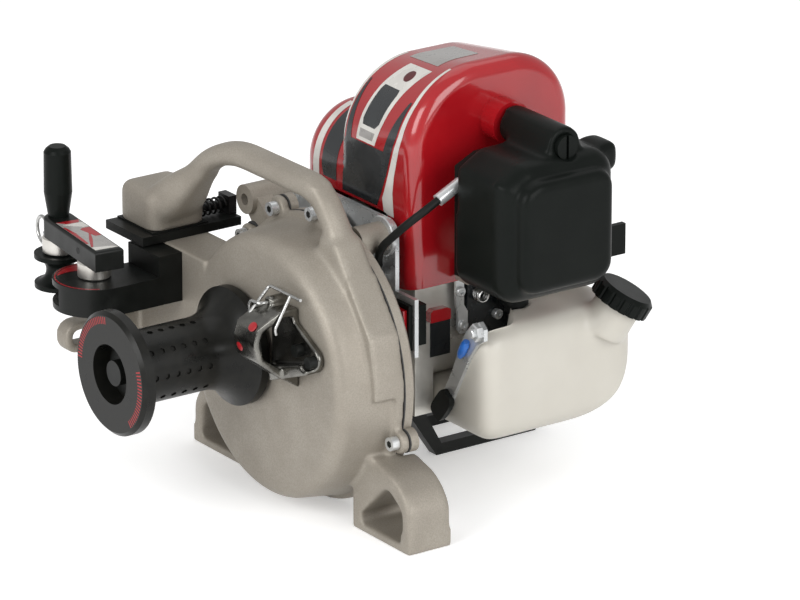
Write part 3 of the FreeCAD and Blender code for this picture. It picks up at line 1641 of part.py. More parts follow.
def gate():
    """The lever that swings about the guide pin, with the rear roller below its end and the grip above it."""
    turn = FreeCAD.Rotation(FreeCAD.Vector(0, 0, 1), GATE_ANGLE)
    aim = math.radians(GATE_ANGLE)

    def along(reach):
        return guide_pin_x + reach * math.cos(aim), d.guide_pin_y + reach * math.sin(aim)

    half = d.lever_width / 2
    lever = padded(
        [
            (-d.lever_overhang, -half),
            (d.lever_reach, -half),
            Bend(d.lever_reach, half, half + d.running_fit, 1),
            (-d.lever_overhang, half),
        ],
        d.lever_thick,
        guide_pin_x,
        d.guide_pin_y,
        d.lever_low_z,
        turn,
    )
    rounded(lever, d.lever_round, at_end(d.lever_thick))
    bore = d.guide_pin_radius + d.running_fit
    depth = d.lever_thick - d.lever_cover
    pivot_hole = rod(guide_pin_x, d.guide_pin_y, d.lever_low_z - d.overrun, bore, depth + d.overrun)
    stud_x, stud_y = along(d.lever_reach)
    stud_hole = rod(stud_x, stud_y, d.lever_low_z - d.overrun, bore, depth + d.overrun)
    node("lever_bar", cut(lever, pivot_hole, stud_hole))
    roller_top = d.arm_high_z - d.rest_gap
    roller_low = roller_top - d.rear_roller_height
    head_low = roller_low - d.rest_gap - d.roller_stud_head
    stud_top = lever_top_z - d.lever_cover - d.rest_gap
    node(
        "roller_stud",
        turned(
            [
                (0, head_low),
                (d.roller_stud_head_radius, head_low),
                (d.roller_stud_head_radius, head_low + d.roller_stud_head),
                (d.guide_pin_radius, head_low + d.roller_stud_head),
                (d.guide_pin_radius, stud_top),
                (0, stud_top),
            ],
            stud_x,
            stud_y,
            0,
        ),
    )
    collar = collar_ring(stud_x, stud_y, d.arm_high_z, d.lever_low_z - d.arm_high_z)
    outward = FreeCAD.Rotation(FreeCAD.Vector(0, 0, 1), FreeCAD.Vector(math.cos(aim), math.sin(aim), 0))
    lock_hole = rod(
        stud_x, stud_y, d.lock_z, d.lock_pin_radius + d.running_fit, d.collar_radius + d.overrun, outward
    )
    node("gate_collar", cut(collar, lock_hole))
    groove = hollow_radius(
        d.rear_roller_height, d.rear_roller_rim, d.rear_roller_radius - d.rear_roller_waist
    )
    corners = roller_corners(
        d.rear_roller_height, d.rear_roller_radius, d.rear_roller_waist, d.rear_roller_rim, groove
    )
    node("rear_roller", turned(corners, stud_x, stud_y, roller_low))
    neck = d.grip_height - d.grip_crown
    node(
        "hand_grip",
        turned(
            [
                (0, 0),
                (d.grip_base_radius, 0),
                (d.grip_belly_radius, d.grip_belly_height),
                (d.grip_top_radius, neck),
                (d.grip_top_radius - d.grip_crown_inset / 3, neck + d.grip_crown / 2),
                (d.grip_top_radius - d.grip_crown_inset, d.grip_height),
                (0, d.grip_height),
            ],
            stud_x,
            stud_y,
            lever_top_z,
        ),
    )
    pin_start = d.lever_reach + d.guide_pin_radius + d.rest_gap
    pin_x, pin_y = along(pin_start)
    eye_reach = d.lever_reach + d.collar_radius + d.rest_gap + d.lock_eye_radius
    eye_x, eye_y = along(eye_reach)
    eye_low = d.lock_z - d.lock_eye_thick / 2
    pin = rod(pin_x, pin_y, d.lock_z, d.lock_pin_radius, eye_reach - pin_start, outward)
    core = rod(
        eye_x, eye_y, d.arm_high_z, d.lock_eye_radius * EYE_TRIM_SHARE,
        d.lock_z - d.arm_high_z + d.lock_eye_radius
    )
    trimmed = cut(pin, core)
    eye = rod(eye_x, eye_y, eye_low, d.lock_eye_radius, d.lock_eye_thick)
    hole = rod(eye_x, eye_y, eye_low - d.overrun, d.lock_eye_hole, d.lock_eye_thick + d.overrun * 2)
    node("lock_pin", cut(fuse(trimmed, eye), hole))
    ring_x, ring_y = along(eye_reach + d.pull_ring_radius)
    sideways = FreeCAD.Rotation(FreeCAD.Vector(0, 0, 1), FreeCAD.Vector(-math.sin(aim), math.cos(aim), 0))
    ring = doc.addObject("Part::Torus", "ring")
    bind(ring, "Radius1", d.pull_ring_radius)
    bind(ring, "Radius2", d.pull_ring_wire)
    node("pull_ring", place(ring, ring_x, ring_y, d.lock_z, sideways))


def tail_screw_places():
    return (
        (d.tail_screw_near_x, d.tail_screw_near_z),
        (d.tail_screw_far_x, d.tail_screw_far_z),
    )


def loop_corners(inset):
    """The tail guide's loop seen from the right, drawn in by its wall."""
    return [
        (d.case_face_y - inset, d.loop_low_z + inset * 2),
        (d.case_face_y - inset, d.loop_crown_z - inset),
        (d.loop_chin_y, d.loop_crown_z - inset),
        (d.loop_cheek_y + inset * BLOCK_CROWN_SHARE, d.loop_brow_z - inset * BLOCK_CROWN_SHARE),
        (d.loop_nose_y + inset, d.loop_nose_z),
        (d.loop_cheek_y + inset * BLOCK_CROWN_SHARE, d.loop_cheek_z + inset * SLOPE_INSET_SHARE),
        (d.loop_chin_y, d.loop_chin_z + inset * 2 * CROWN_CONE_SHARE),
    ]


def tail_guide():
    """A cast eye on the case's face: a three-cornered plate, a loop for the rope's tail and a lip below."""
    plate_y = d.case_face_y - d.tail_floor
    plate = front_plate(
        [
            (d.tail_low_x, d.tail_low_z),
            (d.tail_far_x, d.tail_far_z),
            (d.tail_top_x, d.tail_top_z),
        ],
        plate_y,
        d.case_face_y,
    )
    rounded(plate, d.tail_corner, across)
    lip = front_plate(
        [
            (d.tail_low_x + d.tail_lip, d.tail_low_z + d.tail_lip / 2),
            (d.tail_far_x - d.tail_lip * 2, d.tail_far_z - d.tail_lip),
            (d.tail_far_x - d.tail_lip * 2, d.tail_far_z),
            (d.tail_low_x + d.tail_lip, d.tail_low_z + d.tail_lip * 2),
        ],
        d.case_face_y - d.tail_lip_depth,
        d.case_face_y,
    )
    right_x = d.loop_left_x + d.loop_width
    loop = side_plate(loop_corners(0), d.loop_left_x, right_x)

    def ahead(edge):
        return across(edge) and edge.Vertexes[0].Point.x < number(plate_y)

    rounded(loop, d.loop_round, ahead)
    hollow = side_plate(loop_corners(d.loop_wall), d.loop_left_x - d.overrun, right_x + d.overrun)
    ear = rod(
        d.wire_pivot_x, d.wire_eye_front_y, d.wire_pivot_z, d.wire_eye_radius,
        d.case_face_y - d.wire_eye_front_y, ALONG_Y
    )
    eye_hole = rod(
        d.wire_pivot_x, d.wire_eye_front_y - d.overrun, d.wire_pivot_z, d.wire_radius + d.running_fit,
        d.wire_y + d.rest_gap - d.wire_eye_front_y + d.overrun, ALONG_Y,
    )
    screw_holes = [
        rod(x, plate_y - d.tail_lip_depth, z, d.tail_screw_radius + d.screw_fit,
            d.tail_floor + d.tail_lip_depth + d.overrun, ALONG_Y)
        for x, z in tail_screw_places()
    ]
    head_wells = [
        rod(
            x, plate_y - d.tail_lip_depth, z, d.tail_screw_head_radius + d.rest_gap, d.tail_lip_depth,
            ALONG_Y
        )
        for x, z in tail_screw_places()
    ]
    eye = cut(fuse(cut(loop, hollow), ear), eye_hole)
    node("tail_guide", cut(fuse(plate, lip, eye), *screw_holes, *head_wells))
    screws = []
    for x, z in tail_screw_places():
        head_y = plate_y - d.tail_screw_head
        head = rod(x, head_y, z, d.tail_screw_head_radius, d.tail_screw_head, ALONG_Y)
        shank = rod(
            x, head_y, z, d.tail_screw_radius, d.tail_screw_head + d.tail_floor + d.case_wall, ALONG_Y
        )
        screws.append(fuse(head, shank))
    node("tail_guide_screws", group(*screws))


def wire_gate():
    """A bent spring wire that hangs across the loop's left side and turns in the eye above it."""
    left_x = d.loop_left_x - d.wire_radius - d.rest_gap * 4
    points = [
        vector(d.wire_pivot_x, d.wire_y, d.wire_pivot_z),
        vector(d.wire_pivot_x, d.wire_front_y, d.wire_pivot_z),
        vector(left_x, d.wire_front_y, d.wire_pivot_z),
        vector(left_x, d.wire_front_y, d.wire_pivot_z - d.wire_drop),
    ]
    node("wire_gate", coded(pipe(points, number(d.wire_radius), number(d.wire_bend))))


def engine_plate():
    left = post_left_x - d.plate_margin
    right = plate_right_x
    tab_x = right + d.plate_tab_out
    tab_high_z = tab_low_z + d.plate_tab_height
    low = plate_low_z
    high = post_high_z + d.plate_margin
    stock = front_plate(
        [
            (left, low),
            (right, low),
            (right, tab_low_z),
            (tab_x, tab_low_z),
            (tab_x, tab_high_z),
            (right, tab_high_z),
            (right, high),
            (left, high),
        ],
        d.plate_y,
        plate_back_y,
    )
    corners = [(number(left), number(low)), (number(left), number(high)), (number(right), number(high))]
    rounded(
        stock,
        d.plate_margin * PLATE_CORNER_SHARE,
        lambda edge: across(edge)
        and any(
            abs(edge.Vertexes[0].Point.x - x) + abs(edge.Vertexes[0].Point.y - z) < 1e-6 for x, z in corners
        ),
    )
    crank_hole = rod(
        d.crank_x, d.plate_y - d.overrun, d.crank_z, d.plate_hole_radius, d.plate_thick * 3, ALONG_Y
    )
    screw_holes = [
        rod(
            x, d.plate_y - d.overrun, z, d.plate_screw_radius + d.screw_fit, d.plate_thick + d.overrun * 2,
            ALONG_Y
        )
        for x, z in post_places()
    ]
    half_width = d.switch_width / 2 - d.switch_lip
    half_height = d.switch_height / 2 - d.switch_lip
    switch_hole = box(
        switch_x - half_width, switch_x + half_width, d.plate_y - d.overrun, plate_back_y + d.overrun,
        switch_z - half_height, switch_z + half_height,
    )
    node("engine_plate", cut(stock, crank_hole, switch_hole, *screw_holes))
    screws = []
    for x, z in post_places():
        start = plate_back_y - d.plate_screw_length
        shank = rod(x, start, z, d.plate_screw_radius, d.plate_screw_length, ALONG_Y)
        head = rod(x, plate_back_y, z, d.plate_screw_head_radius, d.plate_screw_head, ALONG_Y)
        screws.append(fuse(shank, head))
    node("plate_screws", group(*screws))


def stop_switch():
    """A rocker switch in the plate's tab; the rocker turns about X."""
    half_width = d.switch_width / 2
    half_height = d.switch_height / 2
    inner_width = half_width - d.switch_lip - d.screw_fit
    inner_height = half_height - d.switch_lip - d.screw_fit
    bezel_y = d.plate_y - d.switch_bezel
    bezel = box(
        switch_x - half_width, switch_x + half_width, bezel_y, d.plate_y,
        switch_z - half_height, switch_z + half_height,
    )
    back = box(
        switch_x - inner_width, switch_x + inner_width, d.plate_y, d.plate_y + d.switch_body_depth,
        switch_z - inner_height, switch_z + inner_height,
    )
    rocker_half = d.rocker_width / 2
    well_half = rocker_half + d.rest_gap
    top = d.rocker_height / 2
    well_height = top + d.rest_gap * 2
    well = box(
        switch_x - well_half, switch_x + well_half, bezel_y - d.overrun, d.plate_y,
        switch_z - well_height, switch_z + well_height,
    )
    axis_y = d.plate_y - d.switch_bezel / 2
    pin_half = rocker_half + d.switch_lip
    pin_hole = rod(
        switch_x - pin_half - d.rest_gap, axis_y, switch_z, d.rocker_pin_radius + d.running_fit,
        (pin_half + d.rest_gap) * 2, ALONG_X,
    )
    node("stop_switch", cut(fuse(bezel, back), well, pin_hole))
    rocker = side_plate(
        [
            (d.plate_y - d.rest_gap, switch_z),
            (d.plate_y - d.rocker_lift, switch_z + top),
            (bezel_y - d.rocker_rise, switch_z + top),
            (bezel_y - d.rocker_dip, switch_z),
            (bezel_y - d.rocker_rise, switch_z - top),
            (d.plate_y - d.rocker_lift, switch_z - top),
        ],
        switch_x - rocker_half,
        switch_x + rocker_half,
    )
    pin = rod(switch_x - pin_half, axis_y, switch_z, d.rocker_pin_radius, pin_half * 2, ALONG_X)
    node("switch_rocker", fuse(rocker, pin))


def crankcase():
    stock = front_plate(
        [
            (d.crank_block_left_x, d.crank_block_low_z),
            (d.crank_block_right_x, d.crank_block_low_z),
            (d.crank_block_right_x, d.crank_block_top_z),
            (d.crank_block_left_x, d.crank_block_top_z),
        ],
        d.crank_block_y,
        d.crank_block_back_y,
    )
    rounded(stock, d.crank_block_round, across)
    nose = rod(
        d.crank_x, plate_back_y, d.crank_z, d.crank_nose_radius,
        d.crank_block_y - plate_back_y + d.overrun, ALONG_Y
    )
    spigot = rod(
        d.crank_x, d.plate_y, d.crank_z, d.plate_hole_radius - d.rest_gap, d.plate_thick + d.overrun,
        ALONG_Y
    )
    hub_y = d.clutch_y + d.clutch_sheet + d.clutch_gap
    stub = rod(d.crank_x, hub_y, d.crank_z, d.crank_radius, plate_back_y - hub_y, ALONG_Y)
    fan_housing = rod(
        d.crank_x, d.crank_block_back_y - d.overrun, d.crank_z, d.fan_housing_radius,
        d.fan_housing_back_y - d.crank_block_back_y + d.overrun, ALONG_Y,
    )
    sump = box(
        d.sump_left_x, d.crank_block_right_x, d.crank_block_y, d.tank_front_y - d.rest_gap, d.sump_low_z,
        d.crank_block_low_z + d.crank_block_round,
    )
    node("crankcase", fuse(stock, nose, spigot, stub, fan_housing, sump))


def cylinder():
    """A finned cylinder block under the shroud, with the spark plug on its head."""
    inset = d.cylinder_core_inset
    core = box(
        d.cylinder_left_x + inset, d.cylinder_right_x - inset, d.cylinder_front_y + inset,
        d.cylinder_back_y - inset,
        d.crank_block_top_z, cylinder_top_z,
    )
    pitch = (cylinder_top_z - d.crank_block_top_z - d.fin_thick) / (FIN_COUNT - 1)
    fins = []
    for index in range(FIN_COUNT):
        low = d.crank_block_top_z + pitch * index
        fins.append(
            box(
                d.cylinder_left_x, d.cylinder_right_x, d.cylinder_front_y, d.cylinder_back_y, low,
                low + d.fin_thick
            )
        )
    middle_x = (d.cylinder_left_x + d.cylinder_right_x) / 2
    middle_y = (d.cylinder_front_y + d.cylinder_back_y) / 2
    plug = turned(
        [
            (0, 0),
            (d.plug_hex_radius, 0),
            (d.plug_hex_radius, d.plug_hex_height),
            (d.plug_body_radius, d.plug_hex_height),
            (d.plug_body_radius * PLUG_TIP_SHARE, d.plug_height),
            (0, d.plug_height),
        ],
        middle_x,
        middle_y,
        cylinder_top_z,
    )
    node("cylinder", fuse(core, plug, *fins))


def arch_corners(inset, low_z, top_z, front_round, tail_round):
    """An arch of the shroud seen from the right, drawn in by a wall."""
    front_y = d.shroud_front_y + inset
    back_y = d.shroud_back_y - inset
    high_z = top_z - inset
    front = front_round - inset
    tail = tail_round - inset
    return [
        (front_y, low_z),
        (back_y, low_z),
        (back_y, high_z - tail),
        Bend(back_y - tail, high_z, tail, 1),
        (front_y + front, high_z),
        Bend(front_y, high_z - front, front, 1),
    ]


def slanted(corners, depth, rise, x, y, z, rotation):
    """A block padded from an outline that climbs by a rise over the shroud's width."""
    body = doc.addObject("PartDesign::Body", "slanted")
    sketch = outline(body, "XY_Plane", corners)
    pad = body.newObject("PartDesign::Pad", "pad")
    pad.Profile = sketch
    pad.UseCustomVector = True
    pad.AlongSketchNormal = True
    pad.Direction = vector(0, rise, d.shroud_right_x - d.shroud_step_x)
    bind(pad, "Length", depth)
    return place(body, x, y, z, rotation)


def shroud_form(inset, low_z):
    """The shroud's hump and shoulder as solids, drawn in by a wall."""

    def rim(width):
        def wanted(edge):
            above = max(v.Point.y for v in edge.Vertexes) > number(low_z + d.shroud_crown_fall * 2)
            return above and (at_start(edge) or at_end(width)(edge))

        return wanted

    low_crown = d.shroud_top_z - d.shroud_crown_fall
    hump_x = d.shroud_step_x + inset
    hump_width = d.shroud_right_x - inset - hump_x
    hump = slanted(
        arch_corners(inset, low_z, low_crown, d.shroud_front_round, d.shroud_tail_round),
        hump_width, d.shroud_crown_fall, hump_x, 0, 0, SIDE_VIEW,
    )
    rounded(hump, d.shroud_edge_round - inset, rim(hump_width))
    shoulder_x = d.shroud_left_x + inset
    shoulder_width = d.shroud_step_x + d.shroud_edge_round * 2 - shoulder_x
    shoulder = side_plate(
        arch_corners(inset, low_z, d.shroud_shoulder_z, d.shoulder_front_round, d.shoulder_tail_round),
        shoulder_x, shoulder_x + shoulder_width,
    )

    def left_rim(edge):
        return at_start(edge) and rim(shoulder_width)(edge)

    rounded(shoulder, d.shoulder_edge_round - inset, left_rim)
    return fuse(hump, shoulder)


def engine_shroud():
    """The red fan shroud: a humped shell, open below, with a hole for the fan and a notch for the nose."""
    spout = rod(
        d.shroud_right_x - d.shroud_edge_round, d.tube_y, d.tube_z, d.spout_radius,
        d.tube_inner_x - d.rest_gap - d.shroud_right_x + d.shroud_edge_round, ALONG_X,
    )
    outer = fuse(shroud_form(0, d.shroud_low_z), spout)
    inner = shroud_form(d.shroud_wall, d.shroud_low_z - d.overrun)
    fan_hole = rod(
        d.crank_x, d.crank_block_back_y, d.crank_z, d.fan_housing_radius + d.rest_gap,
        d.shroud_back_y - d.crank_block_back_y + d.overrun, ALONG_Y,
    )
    reach = d.crank_nose_radius + d.shroud_notch
    notch = box(
        d.crank_x - reach, d.crank_x + reach, d.shroud_front_y - d.overrun, d.crank_block_y + d.overrun,
        d.shroud_low_z - d.overrun, d.crank_z + reach,
    )
    node("engine_shroud", cut(outer, inner, fan_hole, notch))


def carburettor():
    left = d.shroud_right_x + d.rest_gap
    middle_y = (d.carb_front_y + d.carb_back_y) / 2
    middle_z = (d.carb_low_z + d.carb_high_z) / 2
    bowl_top = d.carb_low_z + (d.carb_high_z - d.carb_low_z) / 3
    bowl = box(
        left + d.cover_wall, carb_right_x - d.cover_wall, d.carb_front_y, d.carb_back_y, d.carb_low_z,
        bowl_top
    )
    throat = rod(left, middle_y, middle_z + d.cover_wall, d.carb_throat_radius, d.carb_width, ALONG_X)
    node("carburettor", fuse(bowl, throat))


def air_cleaner():
    base = side_plate(cover_corners(d.cleaner_base_inset), carb_right_x, cleaner_base_x)
    node("cleaner_base", base)
    filter_body = side_plate(cover_corners(d.filter_inset), cover_back_x, cover_back_x + d.filter_depth)
    node("air_filter", filter_body)


def cover_corners(inset):
    """The air cleaner cover's outline seen from the right, drawn in by a margin."""
    slope_inset = inset * SLOPE_INSET_SHARE
    return [
        (d.cover_front_y + inset, d.cover_low_z + inset),
        (d.cover_back_y - inset, d.cover_low_z + inset),
        (d.cover_back_y - inset, d.cover_top_z - inset),
        (d.cover_front_y + d.cover_slope_run + slope_inset, d.cover_top_z - inset),
        (d.cover_front_y + inset, d.cover_top_z - d.cover_slope_fall - slope_inset),
    ]


def cleaner_cover():
    """The black cover: a deep tray with a raised panel, a tube on top for the knob and a lug behind."""
    depth = d.cover_face_x - cover_back_x
    tray = side_plate(cover_corners(0), cover_back_x, d.cover_face_x)
    square = [number(d.cover_low_z), number(d.cover_back_y)]

    def main_corner(edge):
        spot = edge.Vertexes[0].Point
        return across(edge) and min(abs(spot.y - square[0]), abs(spot.x - square[1])) < 1e-6

    rounded(tray, d.cover_corner_round, main_corner)
    rounded(tray, d.cover_edge_round, at_end(depth))
    panel_start = d.cover_face_x - d.cover_wall
    panel = side_plate(cover_corners(d.cover_panel_inset), panel_start, d.cover_panel_x)
    rounded(panel, d.cover_panel_corner, across)
    rounded(panel, d.cover_panel_round, at_end(d.cover_panel_x - panel_start))
    hollow = side_plate(
        cover_corners(d.cover_wall * 2), cover_back_x - d.overrun, d.cover_face_x - d.cover_wall * 2
    )
    tube = rod(d.tube_inner_x, d.tube_y, d.tube_z, d.tube_radius, d.tube_outer_x - d.tube_inner_x, ALONG_X)
    over_base = box(
        d.tube_inner_x - d.overrun, cover_back_x, d.cover_front_y, d.cover_back_y, d.cover_low_z,
        d.cover_top_z - d.cleaner_base_inset + d.rest_gap,
    )
    lug = side_plate(
        [
            (d.cover_back_y - d.cover_wall, d.cover_lug_low_z),
            (d.cover_back_y + d.cover_lug_standout, d.cover_lug_low_z),
            (d.cover_back_y + d.cover_lug_standout, d.cover_lug_low_z + d.cover_lug_height),
            (d.cover_back_y - d.cover_wall, d.cover_lug_low_z + d.cover_lug_height),
        ],
        d.cover_lug_left_x,
        d.cover_lug_left_x + d.cover_lug_width,
    )
    rounded(
        lug, d.cover_lug_round, lambda edge: across(edge) and edge.Vertexes[0].Point.x > number(
            d.cover_back_y
        )
    )
    well_x = d.tube_outer_x - d.knob_depth / 2
    stem_length = d.knob_depth * 2
    knob_well = rod(
        well_x, d.tube_y, d.tube_z, d.knob_radius + d.rest_gap, d.cover_face_x - well_x + d.overrun, ALONG_X
    )
    stem_hole = rod(
        well_x - stem_length - d.rest_gap, d.tube_y, d.tube_z, d.knob_stem_radius + d.running_fit,
        stem_length + d.knob_depth, ALONG_X,
    )
    choke_hole = rod(
        d.choke_x, d.cover_back_y - d.cover_wall * 2 - d.overrun, d.choke_z,
        d.choke_hole_radius + d.running_fit,
        d.cover_wall * 2 + d.overrun * 2, ALONG_Y,
    )
    node(
        "cleaner_cover",
        cut(fuse(tray, panel, tube, lug), hollow, over_base, knob_well, stem_hole, choke_hole),
    )
    knob = rod(well_x + d.rest_gap, d.tube_y, d.tube_z, d.knob_radius, d.knob_depth, ALONG_X)
    stem = rod(
        well_x - stem_length, d.tube_y, d.tube_z, d.knob_stem_radius, stem_length + d.knob_depth, ALONG_X
    )
    half = d.knob_slot / 2
    knob_front = well_x + d.rest_gap + d.knob_depth
    slot = box(
        knob_front - d.knob_slot_depth, knob_front + d.overrun, d.tube_y - half, d.tube_y + half,
        d.tube_z - d.knob_radius - d.overrun, d.tube_z + d.knob_radius + d.overrun,
    )
    node("cover_knob", cut(fuse(knob, stem), slot))


def choke():
    """A choke lever that turns in the back wall of the air cleaner cover."""
    start_y = d.cover_back_y + d.rest_gap
    half = d.choke_thick / 2
    pin = rod(
        d.choke_x, d.cover_back_y - d.cover_wall * 2, d.choke_z, d.choke_hole_radius,
        d.cover_wall * 2 + d.choke_hub, ALONG_Y
    )
    hub = rod(d.choke_x, start_y, d.choke_z, d.choke_hub_radius, d.choke_hub, ALONG_Y)
    blade = box(
        d.choke_x - half, d.choke_x + half, start_y, start_y + d.choke_length, d.choke_z - d.choke_drop,
        d.choke_z + d.choke_rise,
    )
    node("choke_lever", fuse(pin, hub, blade))


def cap_axis():
    tilt = FreeCAD.Rotation(FreeCAD.Vector(0, 1, 0), CAP_TILT_ANGLE)
    turn = FreeCAD.Rotation(FreeCAD.Vector(0, 0, 1), CAP_TURN_ANGLE)
    return turn.multiply(tilt)


def fuel_tank():
    """The white tank: it passes under the crankcase and rises beside it; its neck leans out."""
    top_z = d.crank_block_low_z - d.rest_gap
    body = front_plate(
        [
            (d.tank_left_x, d.tank_low_z),
            (d.tank_right_x, d.tank_low_z),
            (d.tank_right_x, d.tank_top_z),
            (d.tank_side_x, d.tank_top_z),
            (d.tank_side_x, top_z),
            (d.tank_left_x, top_z),
        ],
        d.tank_front_y,
        d.tank_back_y,
    )
    outer = (number(d.tank_left_x), number(d.tank_right_x))

    def outside(edge):
        return across(edge) and min(abs(edge.Vertexes[0].Point.x - x) for x in outer) < 1e-6

    rounded(body, d.tank_corner_round, outside)
    rounded(
        body, d.tank_edge_round, lambda edge: at_start(edge) or at_end(d.tank_back_y - d.tank_front_y)(edge)
    )
    axis = cap_axis()
    lean = axis.multVec(FreeCAD.Vector(0, 0, 1))
    start = d.neck_start
    neck = rod(
        d.cap_x - start * lean.x, d.cap_y - start * lean.y, d.cap_z - start * lean.z, d.neck_radius,
        start + d.neck_rise, axis,
    )
    hole = rod(
        d.grommet_x, d.grommet_y, d.tank_top_z - d.grommet_rise,
        d.grommet_radius - d.grommet_rim + d.screw_fit,
        d.grommet_rise + d.overrun,
    )
    spigot_hole = rod(
        d.cap_x, d.cap_y, d.cap_z, d.neck_radius / 2 + d.running_fit, d.neck_rise + d.overrun, axis
    )
    node("fuel_tank", cut(fuse(body, neck), hole, spigot_hole))


def fuel_cap():
    """A ribbed screw cap over the tank's leaning neck, with a plug that turns in its mouth."""
    rise = d.neck_rise
    inner = d.neck_radius + d.rest_gap * 2
    top = rise + d.rest_gap
    body = turned(
        [
            (0, d.rest_gap),
            (d.neck_radius / 2, d.rest_gap),
            (d.neck_radius / 2, top),
            (inner, top),
            (inner, top - d.cap_top * 2),
            (d.cap_radius, top - d.cap_top * 2),
            (d.cap_radius, top + d.cap_top),
            (d.cap_top_radius, top + d.cap_top * 2),
            (0, top + d.cap_top * 2),
        ],
        d.cap_x,
        d.cap_y,
        d.cap_z,
        cap_axis(),
    )
    axis = cap_axis()
    lean = axis.multVec(FreeCAD.Vector(0, 0, 1))
    low = top - d.cap_top * 2
    grooves = []
    for index in range(CAP_RIBS):
        angle = math.tau * index / CAP_RIBS
        out = axis.multVec(FreeCAD.Vector(math.cos(angle), math.sin(angle), 0))
        reach = d.cap_radius + d.cap_rib_radius / 3
        grooves.append(
            rod(
                d.cap_x + reach * out.x + low * lean.x, d.cap_y + reach * out.y + low * lean.y,
                d.cap_z + reach * out.z + low * lean.z, d.cap_rib_radius, d.cap_top * 4, axis,
            )
        )
    ribs = doc.addObject("Part::Cut", "cut")
    ribs.Base = body
    ribs.Tool = group(*grooves)
    node("fuel_cap", ribs)


def fuel_lines():
    """A rubber grommet in the tank's top and two tubes from it to the carburettor."""
    low = d.tank_top_z - d.grommet_rise
    inner = d.grommet_radius - d.grommet_rim
    grommet = turned(
        [
            (0, low),
            (inner, low),
            (inner, d.tank_top_z),
            (d.grommet_radius, d.tank_top_z),
            (d.grommet_radius, d.tank_top_z + d.grommet_rim),
            (inner, d.tank_top_z + d.grommet_rise),
            (0, d.tank_top_z + d.grommet_rise),
        ],
        d.grommet_x,
        d.grommet_y,
        0,
    )
    node("tank_grommet", grommet)
    start_z = d.tank_top_z + d.grommet_rise
    tubes = []
    for side in (-1, 1):
        x = d.grommet_x + d.fuel_tube_spread * side
        end_z = d.carb_low_z + d.fuel_tube_bend / 2 + d.fuel_tube_spread * side / 2
        points = [
            vector(x, d.grommet_y, start_z),
            vector(x, d.grommet_y, end_z),
            vector(x, d.carb_back_y, end_z),
        ]
        reach = min(number(end_z - start_z), number(d.grommet_y - d.carb_back_y)) * TUBE_BEND_SHARE
        tubes.append(coded(pipe(points, number(d.fuel_tube_radius), reach)))
    node("fuel_tubes", group(*tubes))


def tank_guard():
    """A black skid frame under the tank: two sled-shaped sides joined by two bars."""
    bar_low_z = d.tank_low_z - d.guard_sole
    toe_y = d.guard_front_y + d.guard_front_bar
    heel_y = d.guard_back_y - d.guard_sole

    def side(x):
        return side_plate(
            [
                (d.guard_front_y, d.tank_low_z),
                (d.guard_front_y, bar_low_z),
                (d.guard_low_front_y, 0),
                (d.guard_low_back_y, 0),
                (d.guard_back_y, d.guard_heel_z),
                (d.guard_back_y, d.tank_low_z),
                (heel_y, d.tank_low_z),
                (heel_y, d.guard_heel_z + d.guard_sole / 2),
                (d.guard_low_back_y - d.guard_sole / 2, d.guard_sole),
                (d.guard_low_front_y + d.guard_sole / 2, d.guard_sole),
                (toe_y, bar_low_z),
                (toe_y, d.tank_low_z),
            ],
            x - d.guard_bar,
            x,
        )

    front_bar = box(d.guard_left_x, d.guard_right_x, d.guard_front_y, toe_y, bar_low_z, d.tank_low_z)
    back_bar = box(d.guard_left_x, d.guard_right_x, heel_y, d.guard_back_y, bar_low_z, d.tank_low_z)
    node("tank_guard", fuse(side(d.guard_right_x), side(d.guard_left_x + d.guard_bar), front_bar, back_bar))


def muffler():
    right = d.shroud_left_x - d.rest_gap
    left = right - d.muffler_thick
    can = side_plate(
        [
            (d.muffler_front_y, d.muffler_low_z),
            (d.muffler_back_y, d.muffler_low_z),
            (d.muffler_back_y, d.muffler_top_z),
            (d.muffler_front_y, d.muffler_top_z),
        ],
        left,
        right,
    )
    rounded(can, d.muffler_round, across)
    rounded(can, d.muffler_round / 2, at_start)
    node("muffler", can)
    gap = d.muffler_guard_gap
    sheet_x = d.muffler_guard_sheet
    outer = box(
        left - gap - sheet_x, right, d.muffler_front_y - gap, d.muffler_back_y + gap,
        d.muffler_low_z - gap - sheet_x, d.muffler_top_z + gap + sheet_x,
    )
    inner = box(
        left - gap, right + d.overrun, d.muffler_front_y - gap - d.overrun,
        d.muffler_back_y + gap + d.overrun,
        d.muffler_low_z - gap, d.muffler_top_z + gap,
    )
    pitch = (d.muffler_back_y - d.muffler_front_y) / MUFFLER_SLOTS
    slots = []
    for index in range(MUFFLER_SLOTS):
        y = d.muffler_front_y + pitch * index + (pitch - d.muffler_slot) / 2
        slots.append(
            box(
                left - gap - sheet_x - d.overrun, left, y, y + d.muffler_slot,
                d.muffler_low_z + d.muffler_round, d.muffler_top_z - d.muffler_round,
            )
        )
    node("muffler_guard", cut(outer, inner, *slots))


